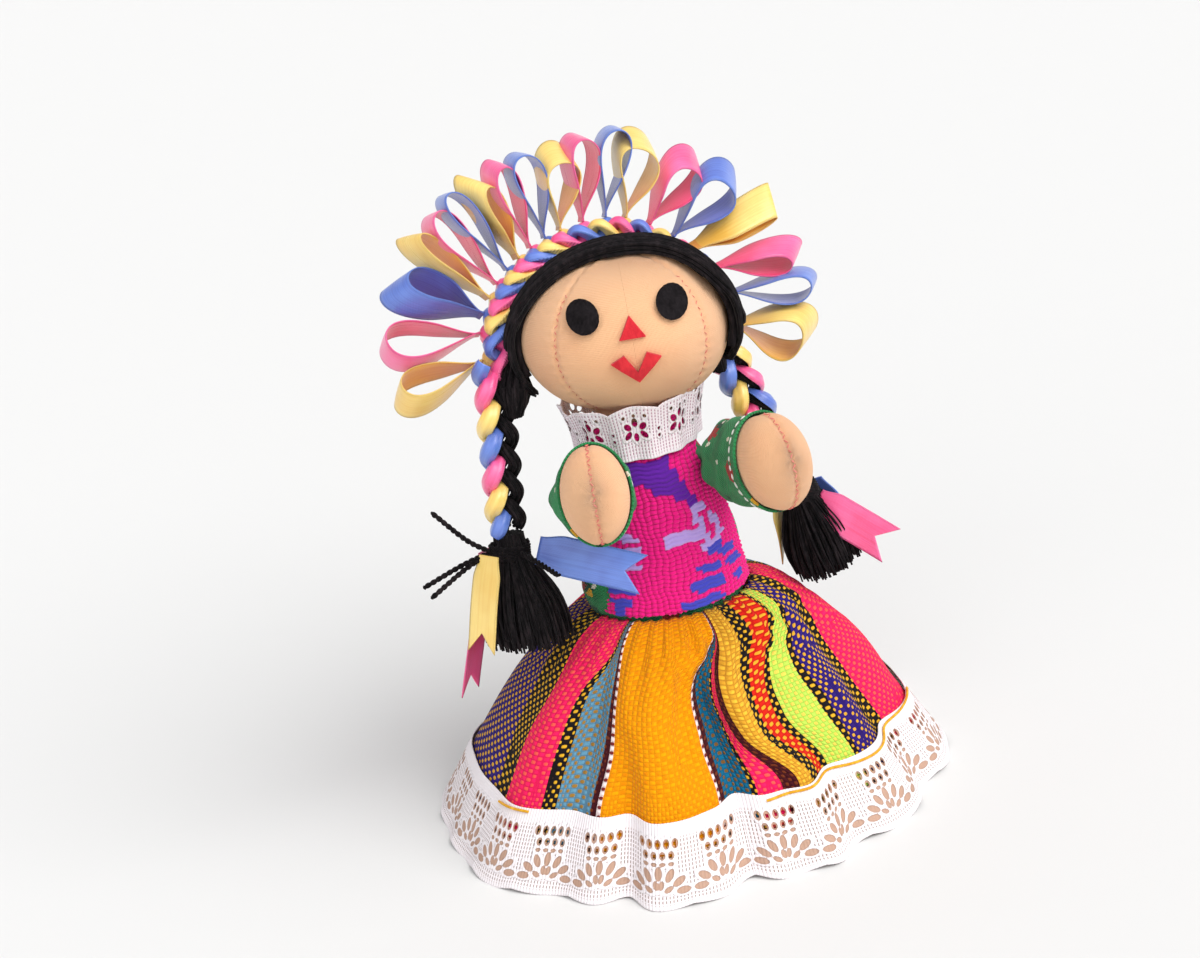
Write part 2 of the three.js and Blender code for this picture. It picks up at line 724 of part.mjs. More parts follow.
function makeTie(group, side) {
  const inner = tasselNeckRadius + clearance;
  const turnHeight = tieHeight / tieTurns;
  const outerProfile = Array.from({ length: tieTurns }, (_, turn) => [
    new THREE.Vector2(inner + tieThickness * tieGroove, tieTopRise - turn * turnHeight),
    new THREE.Vector2(inner + tieThickness, tieTopRise - (turn + 0.5) * turnHeight),
  ]).flat();
  const tieBottom = tieTopRise - tieHeight;
  const bottom = new THREE.Vector2(inner + tieThickness * tieGroove, tieBottom);
  const innerProfile = [tieBottom, tieTopRise].map((level) => new THREE.Vector2(inner, level));
  const profile = [...outerProfile, bottom, ...innerProfile];
  const ring = new THREE.LatheGeometry([...profile, profile[0]].reverse(), limbSides);
  ring.rotateX(Math.PI / 2);
  let tie = toSolid(ring);
  for (const end of side.yarnEnds) {
    const { out, direction } = tieExit(side, end.bearing, end.slant);
    const root = out.clone().multiplyScalar(inner + tieThickness * yarnEndDepth);
    root.z = tieTopRise - tieHeight / 2;
    const tip = root.clone().addScaledVector(direction, end.length).addScaledVector(out, tieThickness);
    const bend = root.clone().addScaledVector(direction, end.length / 3).addScaledVector(out, tieThickness);
    tie = tie.add(toSolid(tubeAlong([root, bend, tip], yarnRadius, yarnEndSteps)));
  }
  addPiece(group, `tie_${side.name}`, toGeometry(tie), looks.yarn);
}

// A ribbon end cut to a fishtail
function makeTails(group, side) {
  const start = tasselNeckRadius + clearance + tieThickness + clearance;
  for (const tail of side.tails) {
    const half = ribbonWidth / 2;
    const outline = new THREE.Shape();
    outline.moveTo(-half, 0);
    outline.lineTo(half, 0);
    outline.lineTo(half, -tail.length);
    outline.lineTo(0, -tail.length + half);
    outline.lineTo(-half, -tail.length);
    outline.closePath();
    const geometry = new THREE.ExtrudeGeometry(outline, { depth: ribbonThickness, bevelEnabled: false });
    geometry.translate(0, 0, -ribbonThickness / 2);
    geometry.rotateX(Math.PI / 2);
    const { out, direction } = tieExit(side, tail.bearing, tail.slant);
    const tail3d = addPiece(group, `tail_${side.name}_${tail.colour}`, geometry, looks[tail.colour]);
    const slant = degToRad(tail.slant);
    const besideTie = Math.min(half, tieHeight / 2 / Math.sin(slant));
    const cornerReach = besideTie * Math.abs(Math.sin(degToRad(tail.roll)) * Math.cos(slant));
    tail3d.position.copy(out).multiplyScalar(start + cornerReach);
    tail3d.position.z = tieTopRise - tieHeight / 2;
    const up = direction.negate();
    const across = new THREE.Vector3().crossVectors(out, up).normalize();
    const face = new THREE.Vector3().crossVectors(up, across);
    tail3d.quaternion.setFromRotationMatrix(new THREE.Matrix4().makeBasis(across, face, up));
    tail3d.rotateZ(degToRad(tail.roll));
  }
}

function makeSidePlait(side) {
  const plait = new THREE.Group();
  hangPlait(plait, side);
  doll.add(plait);
  makePlait(plait, side);
  const tassel = new THREE.Group();
  tassel.position.z = -plaitLength - clearance - tasselNeckRadius;
  plait.add(tassel);
  makeTassel(tassel, side);
  makeTie(tassel, side);
  makeTails(tassel, side);
}

// A stuffed limb along -Y: a round root, a swelling and a rounded end
function limbHalves(along, rootRadius, swellAt, length, halfWidth, halfHeight) {
  if (along < 0) {
    const radius = Math.sqrt(Math.max(rootRadius ** 2 - along ** 2, 0));
    return { width: radius, height: radius };
  }
  if (along > swellAt) {
    const share = Math.sqrt(Math.max(1 - ((along - swellAt) / (length - swellAt)) ** 2, 0));
    return { width: halfWidth * share, height: halfHeight * share };
  }
  const swell = smoothstep(along, 0, swellAt);
  return { width: lerp(rootRadius, halfWidth, swell), height: lerp(rootRadius, halfHeight, swell) };
}

function limbRing(along, halves, offset) {
  const ring = oval(halves.width + offset, halves.height + offset, along, limbSides);
  return ring.map((point) => new THREE.Vector3(point.x, -along, -point.y));
}

function limbStations(rootRadius, swellAt, length) {
  const root = limbEndAngles.map((degrees) => -rootRadius * Math.sin(degToRad(degrees)));
  const end = limbEndAngles.map((degrees) => swellAt + (length - swellAt) * Math.sin(degToRad(degrees)));
  return [...root, ...span(0, swellAt, limbSteps), ...end.reverse()];
}

function armHalves(along) {
  return limbHalves(along, armRootRadius, handCentre, armLength, handHalfWidth, handHalfHeight);
}

// The shoulder stands off the blouse by the round root of the arm.
function shoulderPoint(side) {
  const azimuth = degToRad(shoulderAzimuth);
  const { width, depth } = trunkHalves(shoulderHeight);
  const normal = new THREE.Vector3(Math.sin(azimuth) / width, -Math.cos(azimuth) / depth, 0).normalize();
  const point = new THREE.Vector3(width * Math.sin(azimuth), -depth * Math.cos(azimuth), shoulderHeight);
  point.addScaledVector(normal, blouseOuter + clearance + armRootRadius);
  point.x *= side.sign;
  point.y += trunkSetback;
  return point;
}

function makeArm(side) {
  const arm = new THREE.Group();
  arm.position.copy(shoulderPoint(side));
  arm.rotation.set(-degToRad(side.armPitch), 0, side.sign * degToRad(side.armYaw), "ZXY");
  doll.add(arm);
  const stations = limbStations(armRootRadius, handCentre, armLength);
  const rings = stations.map((along) => limbRing(along, armHalves(along), 0));
  addPiece(arm, `arm_${side.name}`, surfaceOfRings(rings), looks.skin);

  const cuffStart = sleeveEnd - cuffLength;
  const plainLevels = span(sleeveStart, cuffStart, sleeveSteps);
  const levels = [...plainLevels, ...span(cuffStart, sleeveEnd, sleeveSteps).slice(1)];
  const coat = (offset) => levels.map((along) => {
    const flare = cuffFlare * smoothstep(along, cuffStart, sleeveEnd);
    return limbRing(along, armHalves(along), offset + flare);
  });
  const sleeve = surfaceOfRings([...coat(clearance + clothThickness), ...coat(clearance).reverse()], true);
  addPiece(arm, `sleeve_${side.name}`, sleeve, looks.print);
}

function makeLeg(side) {
  const hip = trunkBottom - clearance - legRadius;
  const length = hip - footLift;
  const swellAt = length - footRadius;
  const halves = (along) => limbHalves(along, legRadius, swellAt, length, footRadius, footRadius);
  const rings = limbStations(legRadius, swellAt, length).map((along) => limbRing(along, halves(along), 0));
  const leg = addPiece(doll, `leg_${side.name}`, surfaceOfRings(rings), looks.skin);
  leg.position.set(side.sign * legSpread, trunkSetback, hip);
  leg.rotation.x = Math.PI / 2;
}

makeBody();
makeBlouse();
makeBib();
makeCollar();
makeSkirt();
makeLaceHem();
makeNeck();
makeHead();
makeFace();
makeHair();
makeCrown();
makeLoops();
for (const side of sides) {
  makeSidePlait(side);
  makeArm(side);
  makeLeg(side);
}

// The hem's middle is the origin, so the doll stands beside it.
doll.position.x = -hemShift;

export default doll;
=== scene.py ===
import math

import bmesh
import bpy
import numpy as np
from mathutils import Matrix, Vector


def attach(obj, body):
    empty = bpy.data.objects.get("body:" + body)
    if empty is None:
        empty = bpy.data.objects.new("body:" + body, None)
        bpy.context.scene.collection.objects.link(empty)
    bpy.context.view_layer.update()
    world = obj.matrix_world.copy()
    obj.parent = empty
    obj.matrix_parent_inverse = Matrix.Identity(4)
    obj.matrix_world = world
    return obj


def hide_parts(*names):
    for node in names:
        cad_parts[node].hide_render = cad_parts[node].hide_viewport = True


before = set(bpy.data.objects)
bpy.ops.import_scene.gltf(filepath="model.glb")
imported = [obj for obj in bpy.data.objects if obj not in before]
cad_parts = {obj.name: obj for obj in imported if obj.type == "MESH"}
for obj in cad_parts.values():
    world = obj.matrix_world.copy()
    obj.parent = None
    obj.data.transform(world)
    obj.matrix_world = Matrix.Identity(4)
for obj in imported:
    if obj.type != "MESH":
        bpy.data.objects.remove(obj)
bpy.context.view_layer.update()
mm = 0.001
tau = 2 * math.pi
scene = bpy.context.scene
scene.view_settings.view_transform = "Standard"

# The doll's own middle line stands beside the middle of the hem, which is the origin
dollShift = 2.5


# Camera at the photograph's angle; the waist falls on a known pixel of the 1200 x 958 frame
viewpoint = {
    "azimuth": -10, "elevation": 22, "roll": 10, "distance": 420,
    "focalPixels": 2310, "image": (1200, 958), "waist": (dollShift, 3, 36), "waistPixel": (672, 590),
}


def makeCamera():
    turn, rise, roll = (math.radians(viewpoint[k]) for k in ("azimuth", "elevation", "roll"))
    back = Vector((math.sin(turn) * math.cos(rise), -math.cos(turn) * math.cos(rise), math.sin(rise)))
    level = Vector((math.cos(turn), math.sin(turn), 0))
    upright = back.cross(level)
    across = level * math.cos(roll) - upright * math.sin(roll)
    up = level * math.sin(roll) + upright * math.cos(roll)
    perPixel = viewpoint["distance"] / viewpoint["focalPixels"]
    width, height = viewpoint["image"]
    offX = (viewpoint["waistPixel"][0] - width / 2) * perPixel
    offY = (viewpoint["waistPixel"][1] - height / 2) * perPixel
    aim = Vector(viewpoint["waist"]) - across * offX + up * offY
    data = bpy.data.cameras.new("camera")
    data.sensor_width = 36
    data.lens = 36 * viewpoint["focalPixels"] / width
    data.clip_start, data.clip_end = 0.01, 20
    camera = bpy.data.objects.new("camera", data)
    scene.collection.objects.link(camera)
    turned = Matrix((across, up, back)).transposed()
    camera.matrix_world = Matrix.Translation((aim + back * viewpoint["distance"]) * mm) @ turned.to_4x4()
    scene.camera = camera


makeCamera()
print("camera placed")


# Sockets of a node tree, so that sums and products of them add Math nodes
class Wire:
    def __init__(self, tree, socket):
        self.tree, self.socket = tree, socket

    def make(self, kind, settings=None, sockets=None, out=0):
        node = self.tree.nodes.new(kind)
        for key, value in (settings or {}).items():
            if key == "stops":
                self.setStops(node.color_ramp, value)
            else:
                setattr(node, key, value)
        for key, value in (sockets or {}).items():
            if isinstance(value, Wire):
                self.tree.links.new(value.socket, node.inputs[key])
            else:
                node.inputs[key].default_value = value
        return Wire(self.tree, node.outputs[out])

    def setStops(self, ramp, stops):
        ramp.interpolation = "CONSTANT"
        while len(ramp.elements) < len(stops):
            ramp.elements.new(1)
        for element, (place, colour) in zip(ramp.elements, stops):
            element.position, element.color = place, (*colour[:3], 1)

    def maths(self, operation, *values):
        return self.make("ShaderNodeMath", {"operation": operation}, dict(enumerate(values)))

    def __add__(self, other):
        return self.maths("ADD", self, other)

    def __radd__(self, other):
        return self.maths("ADD", other, self)

    def __sub__(self, other):
        return self.maths("SUBTRACT", self, other)

    def __rsub__(self, other):
        return self.maths("SUBTRACT", other, self)

    def __mul__(self, other):
        return self.maths("MULTIPLY", self, other)

    def __rmul__(self, other):
        return self.maths("MULTIPLY", other, self)

    def __truediv__(self, other):
        return self.maths("DIVIDE", self, other)

    def __lt__(self, other):
        return self.maths("LESS_THAN", self, other)

    def __gt__(self, other):
        return self.maths("GREATER_THAN", self, other)

    def wave(self, length):
        return self.maths("SINE", self * (tau / length))

    def size(self):
        return self.maths("ABSOLUTE", self)

    def most(self, other):
        return self.maths("MAXIMUM", self, other)

    def ease(self, low, high):
        return self.make("ShaderNodeMapRange", {"interpolation_type": "SMOOTHSTEP"},
                         {"Value": self, "From Min": low, "From Max": high})

    def tint(self, first, second):
        return self.make("ShaderNodeMix", {"data_type": "RGBA"}, {0: self, 6: first, 7: second}, out=2)

    # this colour, dimmed by another one to the given share
    def dimmed(self, share, by):
        return self.make("ShaderNodeMix", {"data_type": "RGBA", "blend_type": "MULTIPLY"},
                         {0: share, 6: self, 7: by}, out=2)


def colour(red, green, blue):
    shares = [value / 255 for value in (red, green, blue)]
    return (*[s / 12.92 if s < 0.04045 else ((s + 0.055) / 1.055) ** 2.4 for s in shares], 1)


# A cloth material: its principled shader with the constants set, and a wire to build the rest from
def newCloth(name, **constants):
    material = bpy.data.materials.new(name)
    material.use_nodes = True
    tree = material.node_tree
    shader = tree.nodes["Principled BSDF"]
    shader.inputs["Specular IOR Level"].default_value = 0.25
    for label, value in constants.items():
        shader.inputs[label.replace("_", " ")].default_value = value
    return material, Wire(tree, shader.outputs[0]), shader


def finishCloth(wire, shader, base, rough, height=None, bump=0.0002, alpha=None):
    wire.tree.links.new(base.socket, shader.inputs["Base Color"])
    if isinstance(rough, Wire):
        wire.tree.links.new(rough.socket, shader.inputs["Roughness"])
    else:
        shader.inputs["Roughness"].default_value = rough
    if height:
        normal = wire.make("ShaderNodeBump", {}, {"Strength": 1.0, "Distance": bump, "Height": height})
        wire.tree.links.new(normal.socket, shader.inputs["Normal"])
    if alpha:
        wire.tree.links.new(alpha.socket, shader.inputs["Alpha"])


# Millimetres along a piece's own cloth
def clothUv(wire):
    uv = wire.make("ShaderNodeUVMap", {"uv_map": "UVMap"})
    return [wire.make("ShaderNodeSeparateXYZ", {}, {0: uv}, out=k) for k in (0, 1)]


def attribute(wire, name):
    return wire.make("ShaderNodeAttribute", {"attribute_name": name}, out="Fac")


def speckle(wire, scale, detail=3.0, stretch=(1, 1, 1), rough=0.55):
    place = wire.make("ShaderNodeTexCoord", out="Object")
    shaped = wire.make("ShaderNodeMapping", {}, {"Vector": place, "Scale": stretch})
    look = {"Vector": shaped, "Scale": scale, "Detail": detail, "Roughness": rough}
    return wire.make("ShaderNodeTexNoise", {}, look)


# Knitted skin: fine upright wales with a soft blush, and painted shade in the grooves between the wales
knit = {"wale": 0.42, "course": 0.34, "pale": colour(255, 201, 152), "deep": colour(244, 172, 124)}


def makeSkin():
    material, wire, shader = newCloth("skin_knit", Sheen_Weight=0.25, Sheen_Roughness=0.5)
    across, along = clothUv(wire)
    loops = across.wave(knit["wale"]).size() * (0.75 + 0.25 * along.wave(knit["course"]))
    blush = speckle(wire, 90, 4)
    # the colour deepens at random with the blush, and between the wales as painted shade
    shade = blush.ease(0.35, 0.75) * 0.3 + (1 - loops) * 0.3
    finishCloth(wire, shader, shade.tint(knit["pale"], knit["deep"]), 0.85, loops + blush * 0.6, 0.00012)
    return material


def makeFelt(name, pale, deep, sheen):
    material, wire, shader = newCloth(name, Sheen_Weight=sheen, Sheen_Roughness=0.6, Specular_IOR_Level=0.06)
    fibres = speckle(wire, 1900, 5, (1, 1, 0.35), 0.7)
    clumps = speckle(wire, 420, 3)
    base = (fibres * 0.6 + clumps * 0.5).ease(0.3, 0.8).tint(deep, pale)
    finishCloth(wire, shader, base, 0.95, fibres + clumps * 0.7, 0.00018)
    return material


def makeYarn(name, dark, light, rough=0.9, sheen=0.15):
    material, wire, shader = newCloth(name, Sheen_Weight=sheen, Sheen_Roughness=0.4, Specular_IOR_Level=0.12)
    fibres = speckle(wire, 900, 4, (1, 1, 0.3), 0.65)
    finishCloth(wire, shader, fibres.ease(0.4, 0.75).tint(dark, light), rough, fibres, 0.00012)
    return material


# Satin ribbon, 7 mm wide, with a looped selvage along both edges
satin = {"width": 7, "selvage": 0.45, "picot": 0.55}


def makeSatin(name, pale, deep):
    material, wire, shader = newCloth(name, Specular_IOR_Level=0.8, Coat_Weight=0.35, Coat_Roughness=0.24)
    along, across = clothUv(wire)
    pinch = attribute(wire, "pinch")
    fromEdge = satin["width"] / 2 - (across - satin["width"] / 2).size()
    selvage = 1 - fromEdge.ease(satin["selvage"] * 0.5, satin["selvage"])
    picots = selvage * along.wave(satin["picot"]).size()
    drawn = wire.make("ShaderNodeCombineXYZ", {}, {0: along * 0.06, 1: across * 3.2})
    streaks = wire.make("ShaderNodeTexNoise", {"noise_dimensions": "2D"},
                        {"Vector": drawn, "Scale": 1.0, "Detail": 4.0})
    weave = along.wave(0.3) * across.wave(0.42)
    cloud = speckle(wire, 130, 2)
    # the colour deepens at random in clouds and streaks, and towards a loop's root as painted shade
    shade = cloud.ease(0.35, 0.7) * 0.4 + streaks.ease(0.35, 0.7) * 0.25 + pinch * 0.7
    base = (selvage * 0.35 + picots * 0.25).tint(shade.tint(pale, deep), pale)
    rough = 0.24 + streaks * 0.12 + selvage * 0.35
    finishCloth(wire, shader, base, rough, weave * 0.25 + streaks * 0.5 + picots * 2.2, 0.00006)
    return material


# Printed cotton of the blouse: small red flowers, yellow hearts and dark leaves on green
printed = {"ground": colour(46, 146, 84), "shade": colour(28, 108, 62), "flower": colour(176, 30, 34),
           "heart": colour(226, 172, 44), "leaf": colour(22, 74, 50), "pale": colour(226, 224, 204),
           "thread": 0.62}


def makePrint():
    material, wire, shader = newCloth("green_print", Sheen_Weight=0.12, Sheen_Roughness=0.5)
    across, along = clothUv(wire)
    flat = wire.make("ShaderNodeCombineXYZ", {}, {0: across, 1: along})
    ragged = wire.make("ShaderNodeTexNoise", {"noise_dimensions": "2D"},
                       {"Vector": flat, "Scale": 0.9, "Detail": 2.0})

    def scattered(scale, share, radius, shift):
        place = wire.make("ShaderNodeMapping", {}, {"Vector": flat, "Location": (shift, shift * 0.7, 0)})
        cell = {"Vector": place, "Scale": scale, "Randomness": 0.75}
        distance = wire.make("ShaderNodeTexVoronoi", {"voronoi_dimensions": "2D"}, cell)
        pick = wire.make("ShaderNodeTexVoronoi", {"voronoi_dimensions": "2D"}, cell, out="Color")
        chosen = wire.make("ShaderNodeSeparateColor", {}, {0: pick}) < share
        return chosen * (distance + (ragged - 0.5) * 0.35 < radius)

    threads = across.wave(printed["thread"]) * along.wave(printed["thread"])
    base = (speckle(wire, 240, 3).ease(0.35, 0.7) * 0.8).tint(printed["ground"], printed["shade"])
    for spot, ink in (
        (scattered(0.2, 0.3, 0.26, 3.1), "leaf"),
        (scattered(0.13, 0.42, 0.2, 0.0), "flower"),
        (scattered(0.2, 0.3, 0.13, 7.7), "heart"),
        (scattered(0.24, 0.35, 0.09, 12.3), "pale"),
    ):
        base = spot.tint(base, printed[ink])
    base = (threads.size() * 0.16).tint(base, printed["shade"])
    finishCloth(wire, shader, base, 0.82, threads + ragged * 0.6, 0.00012)
    return material


# Bib: coarse weave whose colour is woven in as the brocade attribute
def makeBibWeave():
    material, wire, shader = newCloth("magenta_weave", Sheen_Weight=0.25, Sheen_Roughness=0.45)
    woven = wire.make("ShaderNodeVertexColor", {"layer_name": "brocade"})
    depth = wire.make("ShaderNodeVertexColor", {"layer_name": "brocade"}, out="Alpha")
    fuzz = speckle(wire, 1500, 4, (1, 1, 1), 0.7)
    # the woven colour is darkened where the weave lies low, as painted shade between the yarns
    base = (depth.ease(0.05, 0.55) * 0.8 + fuzz * 0.3).tint(woven.dimmed(1.0, (0.46, 0.3, 0.4, 1)), woven)
    finishCloth(wire, shader, base, 0.88, fuzz, 0.0001)
    return material


# Skirt cloth: dyed warp stripes crossed by a yellow weft that shows as dots
stripes = {
    "pitch": 0.76, "start": -140, "levels": (0.05, 0.22, 0.42, 0.65),
    # the warp's colour, and the weft's where it passes over
    "inks": {
        "navy": (colour(46, 24, 116), colour(220, 164, 44)),
        "black": (colour(26, 20, 24), colour(226, 172, 40)),
        "pink": (colour(252, 32, 98), colour(250, 92, 78)),
        "mist": (colour(98, 150, 178), colour(158, 118, 52)),
        "maroon": (colour(70, 18, 26), colour(112, 50, 26)),
        "white": (colour(244, 228, 226), colour(120, 40, 40)),
        "yellow": (colour(248, 160, 0), colour(240, 141, 0)),
        "teal": (colour(14, 106, 144), colour(122, 86, 40)),
        "mustard": (colour(222, 160, 44), colour(244, 188, 56)),
        "red": (colour(216, 34, 20), colour(242, 168, 44)),
        "lime": (colour(190, 232, 88), colour(242, 208, 86)),
    },
    # ink, and the bearing where it starts at four levels from the waist to the hem, in degrees from the front
    "bands": [
        ("pink", -140, -140, -140, -140), ("black", -124, -122, -121, -120),
        ("navy", -120, -118, -117, -115), ("black", -92, -84, -81, -77), ("pink", -73, -69, -71, -70),
        ("black", -45, -54, -56, -56), ("mist", -43.5, -51, -52, -52), ("maroon", -42, -40.5, -39.5, -41),
        ("white", -41.5, -39.3, -37.6, -39.4), ("yellow", -41, -38, -36, -38), ("white", 8, -7.5, -8.5, -6),
        ("maroon", 8.6, -6.3, -7.4, -5), ("teal", 9, -5.2, -6, -4.2), ("black", 9.2, -0.6, 0.2, 3.4),
        ("pink", 9.3, 0.2, 1, 4.2), ("maroon", 9.4, 1, 2.2, 11), ("mustard", 9.6, 1.8, 4, 15),
        ("black", 19, 11.5, 10.2, 19), ("red", 25.5, 14, 11.6, 22), ("black", 43, 24, 18.6, 25),
        ("lime", 47, 26.5, 21.5, 27), ("black", 52, 34, 32, 34), ("navy", 55, 38, 36.5, 36),
        ("black", 66, 52, 48, 46), ("pink", 80, 62, 56, 54), ("black", 104, 93, 93, 78),
        ("mist", 108, 98, 97, 90), ("maroon", 124, 116, 113, 104), ("white", 126, 118, 116, 107),
        ("yellow", 128, 120, 118, 109), ("white", 150, 148, 146, 140), ("maroon", 152, 149.5, 148, 142),
        ("teal", 154, 152, 151, 146), ("pink", 162, 161, 160, 157), ("mustard", 174, 173, 172, 170),
        ("black", 184, 183.5, 183, 181), ("red", 186, 186, 186, 184), ("black", 197, 197, 197, 196),
        ("lime", 199, 199, 199, 199), ("black", 208, 208, 208, 208), ("mist", 211, 211, 211, 211),
    ],
}


def makeStripes():
    material, wire, shader = newCloth("striped_weave", Specular_IOR_Level=0.12, Sheen_Weight=0.04,
                                      Sheen_Roughness=0.5)
    across, along = clothUv(wire)
    turn, gather = attribute(wire, "stripe"), attribute(wire, "gather")
    bands = [(band[0], (band[-1] - stripes["start"]) / 360) for band in stripes["bands"]]
    half = len(bands) // 2
    split = bands[half][1]
    front, rear = turn / split, (turn - split) / (1 - split)
    yarns = []
    for layer in (0, 1):
        ahead = [(place / split, stripes["inks"][ink][layer]) for ink, place in bands[:half]]
        behind = [((place - split) / (1 - split), stripes["inks"][ink][layer]) for ink, place in bands[half:]]
        ramps = [wire.make("ShaderNodeValToRGB", {"stops": stops}, {0: at})
                 for stops, at in ((ahead, front), (behind, rear))]
        yarns.append((turn > split).tint(*ramps))
    pitch = stripes["pitch"]
    # where the cloth is gathered close, every second yarn lies hidden
    wide, close = across.wave(2 * pitch), across.wave(4 * pitch)
    over = (close + (wide - close) * gather.ease(0.8, 0.92)) * along.wave(2 * pitch)
    fuzz = speckle(wire, 1300, 4, (1, 1, 1), 0.7)
    dyed = over.ease(0.15, 0.5).tint(yarns[0], yarns[1])
    # the dyed colour is darkened between the yarns as painted shade, and at random by the fuzz
    gapShade = 1 - over.size().ease(0.0, 0.35)
    shade = gapShade * 0.42 + fuzz.ease(0.45, 0.8) * 0.25
    base = dyed.dimmed(shade, (0.4, 0.24, 0.24, 1))
    finishCloth(wire, shader, base, 0.9, over.size() + fuzz * 0.3, 0.0002)
    return material


# Lace: a net of threads, close at both edges, with an outlined hole wherever a petal's depth is above nought
# behind is painted shade: the beige of the shaded floor under the skirt, laid as a veil in each petal hole
laceInks = {"thread": colour(246, 240, 243), "behind": colour(234, 186, 156)}


# upright and level are the net's spacings; veil and fill are how far the net and a petal hide what is behind
def makeLace(name, ground, upright, level, veil, fill):
    material, wire, shader = newCloth(name, Specular_IOR_Level=0.1)
    across, along = clothUv(wire)
    posts, bars = across.wave(2 * upright).size(), along.wave(2 * level).size()
    close, hole = attribute(wire, "closeness"), attribute(wire, "hole")
    inside = hole.ease(-0.05, 0.05)
    rim = hole.ease(-0.5, -0.3)
    net = posts.ease(0.3, 0.65).most(bars.ease(0.75, 0.95))
    thread = net.most(close).most(rim)
    fuzz = speckle(wire, 1500, 3)
    base = (thread * 0.8 + fuzz * 0.25).tint(ground, laceInks["thread"])
    # inside a petal the colour turns to the painted shade of what lies behind
    base = (inside * 0.9).tint(base, laceInks["behind"])
    alpha = (veil + (0.98 - veil) * thread) * (1 - inside) + fill * inside
    height = posts * 0.5 + fuzz * 0.5 + rim * (1 - inside) * 0.8
    finishCloth(wire, shader, base, 0.85, height, 0.0002, alpha)
    return material


skinKnit = makeSkin()
blackFelt = makeFelt("black_felt", colour(38, 34, 36), colour(14, 12, 13), 0)
redFelt = makeFelt("red_felt", colour(218, 48, 56), colour(188, 28, 42), 0.15)
hairYarn = makeYarn("black_yarn", colour(15, 12, 14), colour(44, 37, 39), sheen=0.05)
pinkThread = makeYarn("pink_thread", colour(214, 110, 104), colour(240, 150, 140), 0.7)
whiteThread = makeYarn("white_thread", colour(222, 218, 210), colour(246, 244, 240), 0.7)
yellowThread = makeYarn("yellow_thread", colour(214, 152, 30), colour(240, 190, 66), 0.75)
# each ribbon shines on its outer side with its own satin
satins = {
    "yellow": makeSatin("yellow_satin", colour(255, 222, 126), colour(236, 178, 60)),
    "pink": makeSatin("pink_satin", colour(255, 108, 168), colour(244, 40, 108)),
    "blue": makeSatin("blue_satin", colour(102, 136, 220), colour(58, 72, 168)),
}
# darker, warmer copies of the satins for the inner side of a band: painted shade and painted light reflected
# between the folds
shadedSatins = {
    "yellow": makeSatin("yellow_satin_painted_shade", colour(252, 198, 88), colour(226, 142, 32)),
    "pink": makeSatin("pink_satin_painted_shade", colour(255, 72, 132), colour(222, 26, 84)),
    "blue": makeSatin("blue_satin_painted_shade", colour(100, 116, 208), colour(64, 58, 150)),
}
greenPrint = makePrint()
magentaWeave = makeBibWeave()
stripedWeave = makeStripes()
# the net's ground between threads is painted with what shows through it: a beige painted shade for the hem,
# the bib's pink for the collar
hemNet = makeLace("hem_lace_net", colour(232, 200, 188), 0.58, 0.7, 0.34, 0.46)
collarNet = makeLace("collar_lace_net", colour(252, 182, 212), 0.62, 0.62, 0.45, 0.0)
print("materials mixed")


# Geometry node trees, with their sizes as named inputs
def newTree(name, sizes):
    tree = bpy.data.node_groups.new(name, "GeometryNodeTree")
    tree.interface.new_socket("Geometry", in_out="INPUT", socket_type="NodeSocketGeometry")
    for label, kind in sizes.items():
        tree.interface.new_socket(label, in_out="INPUT", socket_type="NodeSocket" + kind)
    tree.interface.new_socket("Geometry", in_out="OUTPUT", socket_type="NodeSocketGeometry")
    entry = tree.nodes.new("NodeGroupInput")
    return tree, {socket.name: Wire(tree, socket) for socket in entry.outputs if socket.name}


def closeTree(tree, made, material):
    real = made.make("GeometryNodeRealizeInstances", {}, {0: made})
    smooth = made.make("GeometryNodeSetShadeSmooth", {}, {"Geometry": real})
    painted = made.make("GeometryNodeSetMaterial", {}, {"Geometry": smooth, "Material": material})
    end = tree.nodes.new("NodeGroupOutput")
    tree.links.new(painted.socket, end.inputs[0])


# Thread: a round yarn along each drawn line
def makeThreadTree():
    tree, given = newTree("drawn thread", {"Thickness": "Float", "Sides": "Int", "Material": "Material"})
    start = given["Geometry"]
    line = start.make("GeometryNodeMeshToCurve", {}, {"Mesh": start})
    section = start.make("GeometryNodeCurvePrimitiveCircle", {},
                         {"Resolution": given["Sides"], "Radius": given["Thickness"]})
    tube = start.make("GeometryNodeCurveToMesh", {},
                      {"Curve": line, "Profile Curve": section, "Fill Caps": True})
    closeTree(tree, tube, given["Material"])
    return tree


